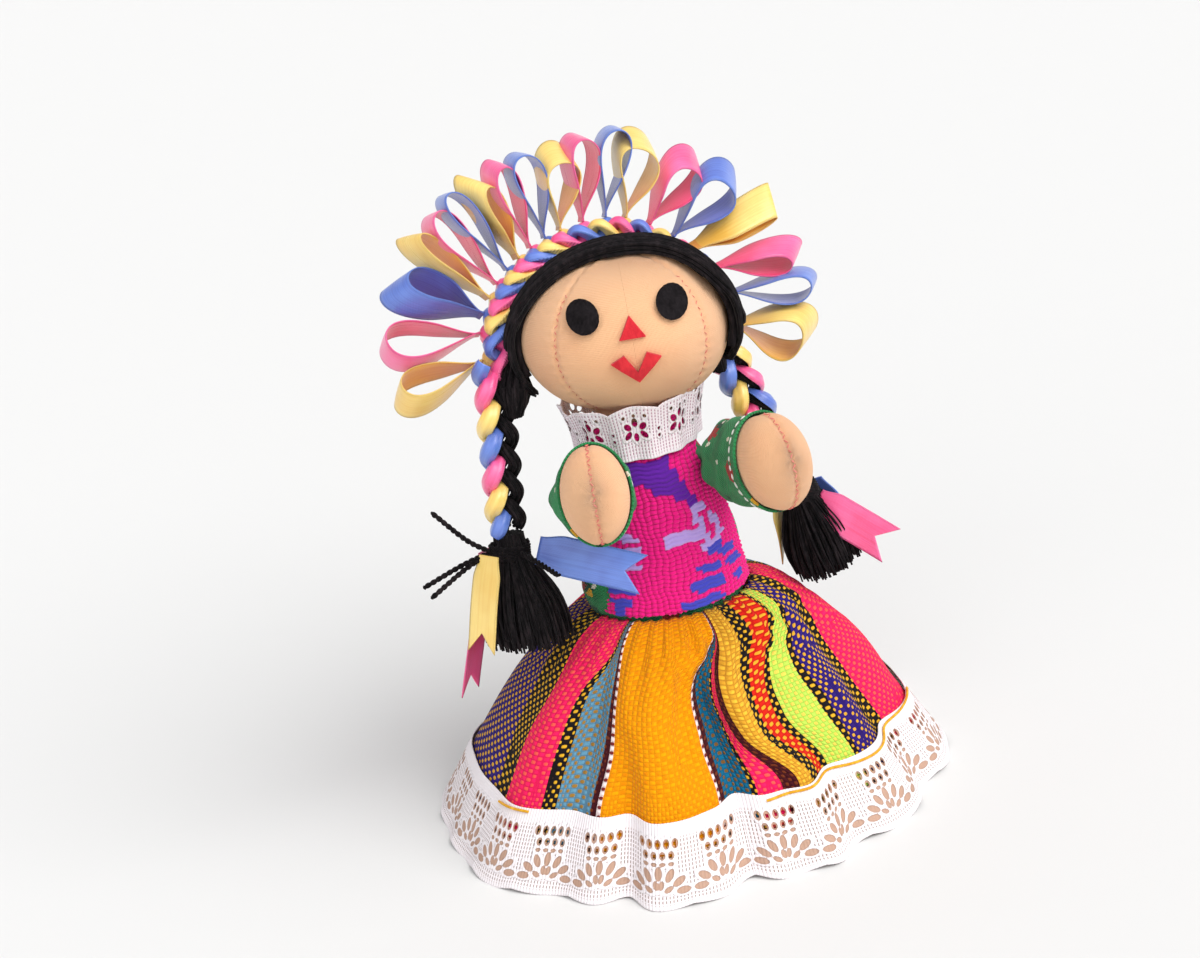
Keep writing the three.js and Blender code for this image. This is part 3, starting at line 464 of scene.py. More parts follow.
# Stitches: short bars laid along each drawn line, turned left and right for a zigzag
def makeStitchTree():
    sizes = dict.fromkeys(("Spacing", "Length", "Thickness", "Zigzag"), "Float")
    tree, given = newTree("sewn stitches", {**sizes, "Seed": "Int", "Material": "Material"})
    start = given["Geometry"]
    line = start.make("GeometryNodeMeshToCurve", {}, {"Mesh": start})
    tangent = start.make("GeometryNodeCurveToPoints", {"mode": "LENGTH"},
                         {"Curve": line, "Length": given["Spacing"]}, out="Tangent")
    spots = Wire(tree, tangent.socket.node.outputs["Points"])
    facing = start.make("GeometryNodeInputNamedAttribute", {"data_type": "FLOAT_VECTOR"}, {"Name": "facing"})
    lie = start.make("FunctionNodeAlignRotationToVector", {"axis": "X"}, {"Vector": tangent})
    stand = start.make("FunctionNodeAlignRotationToVector", {"axis": "Z", "pivot_axis": "X"},
                       {"Rotation": lie, "Vector": facing})
    index = start.make("GeometryNodeInputIndex")
    jitter = start.make("FunctionNodeRandomValue", {"data_type": "FLOAT"},
                        {"Min": 0.75, "Max": 1.2, "Seed": given["Seed"]}, out=1)
    swing = (index.maths("MODULO", index, 2) * 2 - 1) * given["Zigzag"] * jitter
    turn = start.make("FunctionNodeAxisAngleToRotation", {}, {"Axis": (0, 0, 1), "Angle": swing})
    turned = start.make("FunctionNodeRotateRotation", {"rotation_space": "LOCAL"},
                        {"Rotation": stand, "Rotate By": turn})
    bead = start.make("GeometryNodeMeshUVSphere", {}, {"Segments": 6, "Rings": 5, "Radius": 0.5})
    shape = start.make("ShaderNodeCombineXYZ", {},
                       {0: given["Length"] * jitter, 1: given["Thickness"], 2: given["Thickness"]})
    laid = start.make("GeometryNodeInstanceOnPoints", {},
                      {"Points": spots, "Instance": bead, "Rotation": turned, "Scale": shape})
    closeTree(tree, laid, given["Material"])
    return tree


threadTree = makeThreadTree()
stitchTree = makeStitchTree()


# The evaluated mesh takes the place of an object's modifiers
def settle(piece):
    graph = bpy.context.evaluated_depsgraph_get()
    shown = piece.evaluated_get(graph)
    mesh = bpy.data.meshes.new_from_object(shown, preserve_all_data_layers=True, depsgraph=graph)
    piece.modifiers.clear()
    piece.data = mesh
    return piece


def grow(name, paths, tree, values, facings=None):
    points, edges = [], []
    for path in paths:
        first = len(points)
        points.extend(((np.asarray(path) + (dollShift, 0, 0)) * mm).tolist())
        edges.extend((k, k + 1) for k in range(first, len(points) - 1))
    mesh = bpy.data.meshes.new(name)
    mesh.from_pydata(points, edges, [])
    if facings is not None:
        layer = mesh.attributes.new("facing", "FLOAT_VECTOR", "POINT")
        layer.data.foreach_set("vector", np.concatenate(facings).astype(np.float32).ravel())
    piece = bpy.data.objects.new(name, mesh)
    scene.collection.objects.link(piece)
    modifier = piece.modifiers.new("grow", "NODES")
    modifier.node_group = tree
    for socket in tree.interface.items_tree:
        if socket.name in values and socket.in_out == "INPUT":
            modifier[socket.identifier] = values[socket.name]
    return settle(piece)


def drawThreads(name, paths, thickness, material, sides=6):
    return grow(name, paths, threadTree, {"Thickness": thickness * mm, "Sides": sides, "Material": material})


def sewStitches(name, paths, facings, look, material, seed=3):
    return grow(name, paths, stitchTree, {
        "Spacing": look["spacing"] * mm, "Length": look["length"] * mm, "Thickness": look["thickness"] * mm,
        "Zigzag": math.radians(look["zigzag"]), "Seed": seed, "Material": material}, facings)


# The values at the four corners of each cell, given by its row and column
def cellCorners(values, r, c):
    return np.stack([values[r, c], values[r, c + 1], values[r + 1, c + 1], values[r + 1, c]], 1)


# A cloth piece from rows of points; around joins the last column to the first, capped closes both ends
def clothPiece(name, grid, material, uv, around=True, capped=False, keepCell=None, flip=False, thickness=0,
               colours=None, values=None, shadedInside=None):
    rows, columns = grid.shape[:2]
    grid = grid + (dollShift, 0, 0)
    span = columns if around else columns - 1
    r, c = np.meshgrid(np.arange(rows - 1), np.arange(span), indexing="ij")
    r, c = (r[keepCell], c[keepCell]) if keepCell is not None else (r.ravel(), c.ravel())
    d = (c + 1) % columns
    faces = np.stack([r * columns + c, r * columns + d, (r + 1) * columns + d, (r + 1) * columns + c], 1)
    corners = cellCorners(uv, r, c)
    if flip:
        faces, corners = faces[:, ::-1], corners[:, ::-1]
    faceList, cornerUv = faces.tolist(), corners.reshape(-1, 2).tolist()
    points = (grid.reshape(-1, 3) * mm).tolist()
    if capped:
        for row in (0, rows - 1):
            points.append((grid[row].mean(0) * mm).tolist())
            for k in range(columns):
                ends = [row * columns + k, row * columns + (k + 1) % columns]
                if (row == 0) != flip:
                    ends.reverse()
                faceList.append([*ends, len(points) - 1])
                cornerUv.extend([uv[row, k].tolist(), uv[row, k + 1].tolist(), uv[row, k].tolist()])
    mesh = bpy.data.meshes.new(name)
    mesh.from_pydata(points, [], faceList)
    layer = mesh.uv_layers.new(name="UVMap")
    layer.data.foreach_set("uv", np.asarray(cornerUv, dtype=np.float32).ravel())
    if colours is not None:
        shades = mesh.color_attributes.new("brocade", "FLOAT_COLOR", "POINT")
        shades.data.foreach_set("color", colours.reshape(-1, 4).astype(np.float32).ravel())
    for label, numbers in (values or {}).items():
        extra = mesh.attributes.new(label, "FLOAT", "CORNER")
        picked = cellCorners(numbers, r, c)
        extra.data.foreach_set("value", (picked[:, ::-1] if flip else picked).astype(np.float32).ravel())
    mesh.polygons.foreach_set("use_smooth", [True] * len(mesh.polygons))
    if keepCell is not None:
        shape = bmesh.new()
        shape.from_mesh(mesh)
        bmesh.ops.delete(shape, geom=[v for v in shape.verts if not v.link_faces], context="VERTS")
        shape.to_mesh(mesh)
        shape.free()
    mesh.materials.append(material)
    piece = bpy.data.objects.new(name, mesh)
    scene.collection.objects.link(piece)
    if thickness:
        wall = piece.modifiers.new("thickness", "SOLIDIFY")
        wall.thickness = thickness * mm
        wall.offset = -1
        # the inner wall can take a second material, a painted-shade copy of the outer one
        if shadedInside:
            mesh.materials.append(shadedInside)
            wall.material_offset = 1
        settle(piece)
    return piece


def fullTurn(columns):
    return np.linspace(0, tau, columns, endpoint=False)[None, :]


# Rows of points, or of cloth measures, from each of their parts along the rows and columns
def gridOf(*parts):
    return np.stack(np.broadcast_arrays(*parts), -1)


def evenUv(rows, columns, width, height):
    return gridOf(np.linspace(0, width, columns), np.linspace(0, height, rows)[:, None])


def gridNormals(grid, around):
    along = np.roll(grid, -1, 1) - np.roll(grid, 1, 1) if around else np.gradient(grid, axis=1)
    normal = np.cross(along, np.gradient(grid, axis=0))
    return normal / (np.linalg.norm(normal, axis=2, keepdims=True) + 1e-9)


def areaOf(grid, around):
    along = np.roll(grid, -1, 1) - grid if around else grid[:, 1:] - grid[:, :-1]
    up = grid[1:] - grid[:-1]
    last = up.shape[1] if around else up.shape[1] - 1
    return float(np.linalg.norm(np.cross(along[:-1], up[:, :last]), axis=2).sum()) * mm * mm


def turnedBy(degrees, axis):
    return Matrix.Rotation(math.radians(degrees), 4, axis)


def placed(points, matrix):
    turned = np.array(matrix)
    return np.asarray(points) @ turned[:3, :3].T + turned[:3, 3]


# An angle brought to within half a turn of nought
def halfTurn(angle):
    return (angle + math.pi) % tau - math.pi


# How far along a path each of its points lies
def runAlong(path):
    return np.concatenate([[0], np.cumsum(np.linalg.norm(np.diff(path, axis=0), axis=1))])


def eased(value, low, high):
    share = np.clip((np.asarray(value, float) - low) / (high - low), 0, 1)
    return share * share * (3 - 2 * share)


# A smooth path through a few points
def smoothPath(points, count):
    p = np.asarray(points, float)
    p = np.vstack([2 * p[0] - p[1], p, 2 * p[-1] - p[-2]])
    at = np.linspace(0, len(p) - 3 - 1e-9, count)
    k = at.astype(int)
    t = (at - k)[:, None]
    a, b, c, d = p[k], p[k + 1], p[k + 2], p[k + 3]
    bend, twist = 2 * a - 5 * b + 4 * c - d, 3 * b - a - 3 * c + d
    return 0.5 * (2 * b + (c - a) * t + bend * t ** 2 + twist * t ** 3)


def unit(vectors):
    return vectors / (np.linalg.norm(vectors, axis=-1, keepdims=True) + 1e-12)


# Two directions square to a path, carried along it without turning
def sideways(path):
    tangent = unit(np.gradient(path, axis=0))
    first = np.cross(tangent[0], (0.3, 0.5, 0.81))
    sides = [first / np.linalg.norm(first)]
    for t in tangent[1:]:
        carried = sides[-1] - t * (sides[-1] @ t)
        sides.append(carried / np.linalg.norm(carried))
    sides = np.array(sides)
    return sides, np.cross(tangent, sides)


# Plies of a yarn wound round a path
def ply(path, radius, turnLength, count):
    first, second = sideways(path)
    run = runAlong(path)
    angles = [tau * (run / turnLength + k / count) for k in range(count)]
    return [path + radius * (first * np.cos(a)[:, None] + second * np.sin(a)[:, None]) for a in angles]


def dress(piece, body, slotName, *nodes):
    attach(piece, body)
    if nodes:
        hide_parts(*nodes)
    return piece


# The doll's two sides: where the plait hangs, where the hair is bunched, and how plait and arm are turned
dollSides = {
    "right": {"sign": -1, "ear": (-24.8, 4.8, 79.2), "bunch": (-21.4, 4.6, 80.6),
              "plaitForward": 10, "plaitOutward": 7, "armYaw": 12, "armPitch": 22},
    "left": {"sign": 1, "ear": (18, 10, 76.2), "bunch": (16.4, 6.6, 79.4),
             "plaitForward": 10, "plaitOutward": 17, "armYaw": 10, "armPitch": 17},
}

# Trunk: half width and half depth at each height, on an axis set back from the hem's middle
trunk = {
    "setback": 3, "columns": 96, "rows": 60, "throat": (52, 68), "throatLean": 1.3,
    "heights": [30, 33.5, 37, 62, 67], "widths": [9.7, 12.0, 12.4, 9.8, 7.8],
    "depths": [7.8, 9.7, 10, 8.8, 7.3],
}

# Blouse: printed cotton over the trunk, with a bulge at each side, given by bearing, height and reach
blouse = {"bottom": 33.6, "top": 66, "rows": 70, "offset": 0.75, "bulges": ((-88, 41, 4.4), (84, 46, 1.8))}


def trunkGrid(heights, offset, angles):
    width = np.interp(heights, trunk["heights"], trunk["widths"])[:, None] + offset
    depth = np.interp(heights, trunk["heights"], trunk["depths"])[:, None] + offset
    lean = trunk["throatLean"] * eased(heights, *trunk["throat"])[:, None]
    x, y = width * np.sin(angles) - lean, trunk["setback"] - depth * np.cos(angles)
    return gridOf(x, y, heights[:, None])


def makeBody():
    heights = np.linspace(trunk["heights"][0], trunk["heights"][-1], trunk["rows"])
    angles = fullTurn(trunk["columns"])
    body = trunkGrid(heights, 0, angles)
    # gathers at the throat
    body[..., 0] *= 1 - 0.1 * np.cos(16 * angles) * eased(heights, 63, 67)[:, None]
    uv = evenUv(trunk["rows"], trunk["columns"] + 1, 70, 37)
    piece = clothPiece("stuffed_body", body, skinKnit, uv, capped=True)
    dress(piece, "trunk", "skin_cloth", "body", "body_stuffing")


def makeBlouse():
    heights = np.linspace(blouse["bottom"], blouse["top"], blouse["rows"])
    angles = fullTurn(trunk["columns"])
    cloth = trunkGrid(heights, blouse["offset"], angles)
    level = heights[:, None]
    crease = 0.16 * np.sin(5 * angles + 0.35 * level) + 0.12 * np.sin(11 * angles - 0.22 * level)
    bearing = np.degrees(halfTurn(angles))
    for at, height, out in blouse["bulges"]:
        crease = crease + out * np.exp(-(((bearing - at) / 24) ** 2) - ((level - height) / 6) ** 2)
    cloth += gridNormals(cloth, True) * (crease * 0.8)[..., None]
    uv = evenUv(blouse["rows"], trunk["columns"] + 1, 74, 34.4)
    piece = clothPiece("blouse_cloth", cloth, greenPrint, uv, thickness=0.4)
    dress(piece, "trunk", "green_print", "blouse")
    areaOf(cloth, True)


makeBody()
makeBlouse()
print("trunk and blouse made")


# Lace collar: scalloped on top and higher in front
collar = {
    "bottom": 66.4, "height": 7.9, "frontRise": 2.6, "scallops": 9, "columns": 640, "rows": 60,
    "ripple": 0.28, "offset": 3.0, "flare": 1.7, "around": 80, "tall": 10, "shift": -0.3, "turn": 0.2,
}

# Bib: coarse cloth over the front, with brocade figures woven in as stepped blocks
bib = {
    "bottom": 37, "top": 73, "warp": 1.12, "weft": 0.82, "relief": 0.46, "columns": 180, "rows": 250,
    "offset": 2.05, "edge": ([37, 51, 56, 60, 64, 67, 73], [78, 67, 55, 46, 46, 66, 88]),
    "ground": colour(238, 20, 132),
    # left, right, low, high of each block in millimetres from the middle of the bottom edge
    "figures": [
        (colour(96, 26, 156), [
            (-8.2, 2.4, 26.4, 28.4), (-5.4, 3.2, 24.9, 26.4), (-2.6, 3.9, 22.3, 24.9), (0.7, 4.8, 20.7, 22.3),
            (3.2, 6.0, 18.6, 20.7),
        ]),
        (colour(186, 158, 226), [
            (-2.4, 4.8, 12.5, 14.4), (3.6, 6.6, 17.2, 18.5), (4.4, 5.9, 10.6, 17.2), (7.3, 8.9, 11.4, 16.4),
            (4.4, 8.9, 10.2, 11.2), (-10.6, -7.4, 14.2, 15.8), (-10.2, -7, 11.8, 13.4),
            (-10.6, -7.4, 9.4, 11),
        ]),
        (colour(66, 70, 186), [
            (5.4, 9.2, 8.9, 10.4), (8.4, 12.2, 7.2, 8.7), (9.6, 14, 4.6, 6.6), (2.8, 7.6, 5.6, 7),
            (1.6, 7.8, 2.6, 4.8), (-1, 7.4, 0, 1.6), (10.4, 13.6, 2, 3.6), (-14.6, -9.4, 4, 6.2),
            (-14.2, -10.2, 1.8, 3.6), (-13.2, -11, 0, 1.4),
        ]),
    ],
}


def makeBib():
    heights = np.linspace(bib["bottom"], bib["top"], bib["rows"])
    edges = np.interp(heights, *bib["edge"])
    angles = np.radians(edges)[:, None] * np.linspace(-1, 1, bib["columns"])[None, :]
    # its top follows the collar outward
    underCollar = np.maximum(0, (heights - collar["bottom"]) / collar["tall"])
    rest = bib["offset"] + 0.3 * eased(heights, 64, 68) + 1.2 * underCollar ** 2
    cloth = trunkGrid(heights, rest[:, None], angles)
    steps = np.linalg.norm(np.diff(cloth, axis=1), axis=2)
    across = np.concatenate([np.zeros((bib["rows"], 1)), np.cumsum(steps, axis=1)], axis=1)
    across -= across[:, [-1]] / 2
    rise = np.broadcast_to((heights - bib["bottom"])[:, None], across.shape)
    # the yarns wander, as in hand weaving
    column = (across + 0.28 * np.sin(0.55 * rise + 0.4 * across) + 0.12 * np.sin(1.7 * rise)) / bib["warp"]
    row = (rise + 0.2 * np.sin(0.8 * across + 0.3 * rise) + 0.1 * np.sin(2.3 * across)) / bib["weft"]
    over = np.sin(math.pi * column) * np.sin(math.pi * row)
    relief = np.abs(over) ** 0.6
    inks = np.tile(np.array(bib["ground"]), (*across.shape, 1))
    # a figure's edge steps with the weave
    stepX, stepZ = (np.floor(column) + 0.5) * bib["warp"], (np.floor(row) + 0.5) * bib["weft"]
    for ink, blocks in bib["figures"]:
        inside = np.zeros(across.shape, bool)
        for left, right, low, high in blocks:
            slant = 0.35 * (stepZ - (low + high) / 2)
            inside |= (stepX > left - slant) & (stepX < right - slant) & (stepZ > low) & (stepZ < high)
        inks[inside] = ink
        floating = np.abs(np.sin(math.pi * row))
        relief = np.where(inside, 0.35 + 0.75 * (0.75 + 0.25 * floating) * floating ** 0.5, relief)
    # the brocade's alpha carries the relief, which the material darkens in its low places as painted shade
    inks[..., 3] = np.clip(relief, 0, 1)
    cloth += gridNormals(cloth, False) * (bib["relief"] * (relief - 0.6))[..., None]
    piece = clothPiece("bib_cloth", cloth, magentaWeave, gridOf(across, rise), around=False, thickness=0.5,
                       colours=inks)
    dress(piece, "trunk", "magenta_weave", "bib")
    areaOf(cloth[::4, ::4], False)


makeBib()
print("bib woven")


# Skirt: gathered at the waist, with the folds of the photograph's front
skirt = {
    "top": 36.3, "hem": 7, "flare": 0.65, "waist": (14.6, 12.2), "hemHalves": (45.6, 42.5),
    "columns": 520, "rows": 92, "around": 277, "shift": -2.5,
    # bearing of each fold at the four levels, its half width in degrees, and its height a third of the way
    # down and at the hem
    "folds": [
        ((-16, -23, -21, -19), 10, 3.4, 2.2), ((-30, -31, -30, -29), 5, -0.6, -3.2),
        ((9, -4, -3, -1), 4.5, -4.8, -3.6), ((14, 6, 8, 17), 4.5, 2.6, 1.8),
        ((-4, -12, -13, -9), 3.5, -1.7, -0.2), ((-36, -33, -28, -25), 4, 0.9, 0.8),
        ((45, 25, 20, 26), 4, -1.1, -1.2), ((60, 45, 42, 40), 8, 1.6, 1.4),
        ((74, 59, 54, 52), 5, -1.2, -1.2), ((95, 78, 75, 66), 12, 2.4, 1.6),
        ((-43, -46, -46, -46), 6, -2.8, -1.0), ((-60, -62, -63, -63), 8, 1.5, 1.4),
        ((-105, -100, -98, -95), 12, 1.2, 0.9),
    ],
}


# A bearing given at the stripes' levels, at each fall below the waist
def atFalls(falls, given):
    levels, given = np.array(stripes["levels"]), np.array(given, float)
    slopes = np.gradient(given, levels)
    slopes[[0, -1]] = 0
    falls = np.clip(falls, levels[0], levels[-1])
    k = np.clip(np.searchsorted(levels, falls) - 1, 0, len(levels) - 2)
    step = levels[k + 1] - levels[k]
    t = (falls - levels[k]) / step
    near, far = 2 * t ** 3 - 3 * t ** 2 + 1, 3 * t ** 2 - 2 * t ** 3
    leave, arrive = t ** 3 - 2 * t ** 2 + t, t ** 3 - t ** 2
    return near * given[k] + far * given[k + 1] + step * leave * slopes[k] + step * arrive * slopes[k + 1]


def skirtGrid(falls, angles, offset):
    fall = falls[:, None]
    flare = fall ** skirt["flare"]
    width = skirt["waist"][0] + (skirt["hemHalves"][0] - skirt["waist"][0]) * flare
    depth = skirt["waist"][1] + (skirt["hemHalves"][1] - skirt["waist"][1]) * flare
    front = eased(np.degrees(np.abs(halfTurn(angles))), 110, 80)
    fold = 1.5 * flare * np.cos(10 * angles + 0.5 * np.sin(2 * angles)) * (1 - 0.85 * front)
    for bearings, half, middle, low in skirt["folds"]:
        centre = np.radians(atFalls(falls, bearings))[:, None]
        gap = np.degrees(halfTurn(angles - centre))
        height = np.interp(falls, (0, 0.32, 0.75, 1), (0, middle, low, low))[:, None]
        fold = fold + height * np.exp(-((gap / half) ** 2))
    gather = 0.4 * np.cos(40 * angles + 2 * np.sin(3 * angles)) * (1 - eased(fall, 0.0, 0.4))
    reach = fold + gather + offset
    x = (width + reach) * np.sin(angles) + skirt["shift"] * fall
    y = trunk["setback"] * (1 - fall) - (depth + reach) * np.cos(angles)
    return gridOf(x, y, skirt["top"] * (1 - fall))


# Where along the cloth each point of a row lies, since folds hide some stripes
def stripePlace(falls, columns):
    angles = stripes["start"] + np.linspace(0, 360, columns + 1)
    close = ("", *[stripes["start"] + 360.0] * len(stripes["levels"]))
    bands = [*stripes["bands"], close]
    edges = np.array([atFalls(falls, band[1:]) for band in bands])
    hem = np.array([band[-1] for band in bands])
    rows = [np.interp(angles, edges[:, k], hem) for k in range(len(falls))]
    return (np.array(rows) - stripes["start"]) / 360


def makeSkirt():
    columns = skirt["columns"]
    angles = math.radians(stripes["start"]) + fullTurn(columns)
    falls = np.linspace(1 - skirt["hem"] / skirt["top"], 0, skirt["rows"])
    cloth = skirtGrid(falls, angles, 0)
    place = stripePlace(falls, columns)
    up = runAlong(cloth[:, 0])
    uv = gridOf(place * skirt["around"], up[:, None])
    steps = np.linalg.norm(np.roll(cloth, -1, 1) - cloth, axis=2)
    gather = steps / np.maximum(np.diff(place, axis=1) * skirt["around"], 1e-6)
    gather = np.hstack([gather, gather[:, :1]])
    piece = clothPiece("skirt_cloth", cloth, stripedWeave, uv, thickness=0.5,
                       values={"stripe": place, "gather": gather})
    dress(piece, "trunk", "striped_weave", "skirt")
    areaOf(cloth, True)


makeSkirt()
print("skirt gathered")


# Lace hem: squares cut through a fine sheet over a fan of netted petals
hemLace = {"repeats": 25, "height": 14.4, "top": 12.2, "columns": 1040, "rows": 46, "ripple": 0.25,
           "scallop": 0.7, "offset": 0.85, "thread": 0.24, "threadOffset": 1.2}


# How deep each place lies inside the nearest of a few petals, in millimetres; below nought is outside
def petalDepth(s, h, petals):
    depth = np.full(s.shape, -2.0)
    for x, y, turn, length, width in petals:
        a = math.radians(turn)
        along = (s - x) * math.cos(a) + (h - y) * math.sin(a)
        off = -(s - x) * math.sin(a) + (h - y) * math.cos(a)
        reach = (np.abs(along / length) ** 1.9 + np.abs(off / width) ** 1.9) ** (1 / 1.9)
        depth = np.maximum(depth, (1 - reach) * min(length, width))
    return depth


def hemPetals(middle):
    squares = [(middle + 1.55 * (k - 2), 10.9, 90, 0.85, 0.58) for k in range(5)]
    squares += [(middle + 1.55 * (k - 1.5), 9.0, 90, 0.7, 0.55) for k in range(4)]
    petals = [(middle + 1.5 * (k - 1.5), 7.6, 0, 0.55, 0.34) for k in range(4)]
    for turn in (90, 62, 118, 33, 147, 4, 176):
        a = math.radians(turn)
        petals.append((middle + 4.1 * math.cos(a), 2.9 + 3.2 * math.sin(a), turn, 1.2, 0.62))
    for turn in (76, 104, 30, 150):
        a = math.radians(turn)
        petals.append((middle + 1.9 * math.cos(a), 2.7 + 1.5 * math.sin(a), turn, 0.8, 0.45))
    return squares, petals


# The cells that lie wholly inside a petal
def cutCells(depth):
    r, c = np.indices((depth.shape[0] - 1, depth.shape[1] - 1))
    return cellCorners(depth, r, c).min(1) > 0.08


# How closely the net is worked: fully along a band at both edges
def edgeBands(levels, columns, low, high):
    level = levels[:, None] * np.ones(columns)
    return np.clip(eased(level, *high) + 1 - eased(level, *low), 0, 1)


def makeHemLace():
    columns, rows = hemLace["columns"], hemLace["rows"]
    angles = fullTurn(columns)
    falls = np.linspace(1.0, 1 - hemLace["top"] / skirt["top"], rows)
    scallop = hemLace["scallop"] * np.abs(np.sin(hemLace["repeats"] * angles / 2))
    ripple = hemLace["ripple"] * np.sin(hemLace["repeats"] * angles + 1.3 * np.sin(3 * angles))
    lace = skirtGrid(falls, angles, hemLace["offset"])
    lace += gridNormals(lace, True) * (ripple * eased(falls, 0.75, 1)[:, None])[..., None]
    lace[..., 2] += (hemLace["scallop"] - scallop) * eased(falls, 0.93, 1)[:, None]
    around = skirt["around"]
    repeat = around / hemLace["repeats"]
    uv = evenUv(rows, columns + 1, around, hemLace["height"])
    squares, petals = (petalDepth(uv[..., 0] % repeat, uv[..., 1], shapes)
                       for shapes in hemPetals(repeat / 2))
    solid = ~cutCells(squares)
    close = edgeBands(np.linspace(0, 1, rows), columns + 1, (0.04, 0.09), (0.8, 0.84))
    piece = clothPiece("hem_lace", lace, hemNet, uv, keepCell=solid, thickness=0.2,
                       values={"closeness": close, "hole": np.maximum(squares, petals)})
    dress(piece, "trunk", "white_lace", "lace_hem")
    areaOf(lace, True) * solid.mean()


# A loose yellow thread lies along the top of the lace, in two stretches that wander up and down
def makeHemThread():
    lines = []
    for first, last, turns in ((6, 70, 8), (-70, -58, 2)):
        bearings = np.linspace(first, last, 60)
        falls = 0.685 - 0.012 * np.sin(np.linspace(0, turns, 60)) - 0.02 * eased(bearings, 30, 84)
        spots = [skirtGrid(np.array([fall]), np.radians([[bearing]]), hemLace["threadOffset"])[0, 0]
                 for fall, bearing in zip(falls, bearings)]
        lines.append(np.array(spots))
    thread = drawThreads("hem_thread", lines, hemLace["thread"], yellowThread, sides=6)
    dress(thread, "trunk", "striped_weave")


makeHemLace()
makeHemThread()
print("hem lace cut")


# A cluster of petals in each scallop of the collar
def collarPetals(middle, repeat):
    petals = [(middle, 6.9, 90, 0.85, 0.56), (middle, 4.1, 90, 0.8, 0.5)]
    for x, y, turn in ((-1.4, 6.2, 125), (1.4, 6.2, 55), (-1.5, 4.6, 45), (1.5, 4.6, 135)):
        petals.append((middle + x, y, turn, 0.85, 0.54))
    petals += [(x, y, 90, 0.36, 0.32) for x in (0.0, repeat) for y in (4.2, 5.6)]
    petals += [(middle + x, 8.2, 90, 0.34, 0.3) for x in (-1.9, 0, 1.9)]
    return petals


def makeCollar():
    columns, rows = collar["columns"], collar["rows"]
    angles = fullTurn(columns)
    levels = np.linspace(0, 1, rows)
    ripple = collar["ripple"] * (1 + np.cos(14 * angles)) + 0.2 * np.sin(5 * angles)
    base = trunkGrid(np.full(rows, collar["bottom"]), collar["offset"], angles)
    normal = gridNormals(trunkGrid(levels + collar["bottom"], collar["offset"], angles), True)
    lace = base + normal * (ripple + collar["flare"] * levels[:, None] ** 2)[..., None]
    edge = np.abs(np.cos(collar["scallops"] * (angles + collar["turn"]) / 2)) ** 0.7
    tall = collar["height"] + collar["frontRise"] * (1 + np.cos(angles)) / 2 - 1.1 * (1 - edge)
    lace[..., 2] = collar["bottom"] + levels[:, None] * tall
    lace[..., 0] += collar["shift"]
    around = collar["around"]
    repeat = around / collar["scallops"]
    uv = evenUv(rows, columns + 1, around, collar["tall"])
    shift = repeat / 2 + collar["turn"] / tau * around
    depth = petalDepth((uv[..., 0] + shift) % repeat, uv[..., 1], collarPetals(repeat / 2, repeat))
    solid = ~cutCells(depth)
    close = edgeBands(levels, columns + 1, (0.02, 0.12), (0.93, 0.97))
    piece = clothPiece("collar_lace", lace, collarNet, uv, keepCell=solid, thickness=0.2,
                       values={"closeness": close, "hole": depth})
    dress(piece, "trunk", "white_lace", "lace_collar")
    areaOf(lace, True) * solid.mean()


makeCollar()
print("collar cut")


# Head: a stuffed knit ball of gores, tilted back, with a seam down each cheek
head = {
    "centre": (0, 3, 86.6), "tilt": -7, "turn": -10, "halves": (19, 17, 14), "columns": 240, "rows": 130,
    "seams": (-44, 44, 136, 224), "neckRoom": 8.75,
    "stitch": {"spacing": 1.1, "length": 0.9, "thickness": 0.15, "zigzag": 40},
}
headFrame = Matrix.Translation(head["centre"]) @ turnedBy(head["turn"], "Z") @ turnedBy(head["tilt"], "X")

# Neck stump that the head sits on: a short tube that ends in a ball
neck = {"bottom": 67.3, "top": 83.3, "tube": ([67.3, 70.82, 72.1, 73.7, 75.3], [7.5, 7.5, 7.9, 8.3, 8.4]),
        "ballHeight": 75, "ball": 8.4, "rows": 40, "columns": 64}


def ballPoint(halves, azimuth, latitude):
    x = halves[0] * np.sin(azimuth) * np.cos(latitude)
    y = -halves[1] * np.cos(azimuth) * np.cos(latitude)
    return gridOf(x, y, halves[2] * np.sin(latitude))


def headPoint(azimuth, latitude, lift=0.0):
    return ballPoint([half + lift for half in head["halves"]], azimuth, latitude)


# The head is pressed flatter on the doll's left
def flattened(points):
    points[..., 0] *= 1 - 0.08 * eased(points[..., 0], 6, 19)
    return points


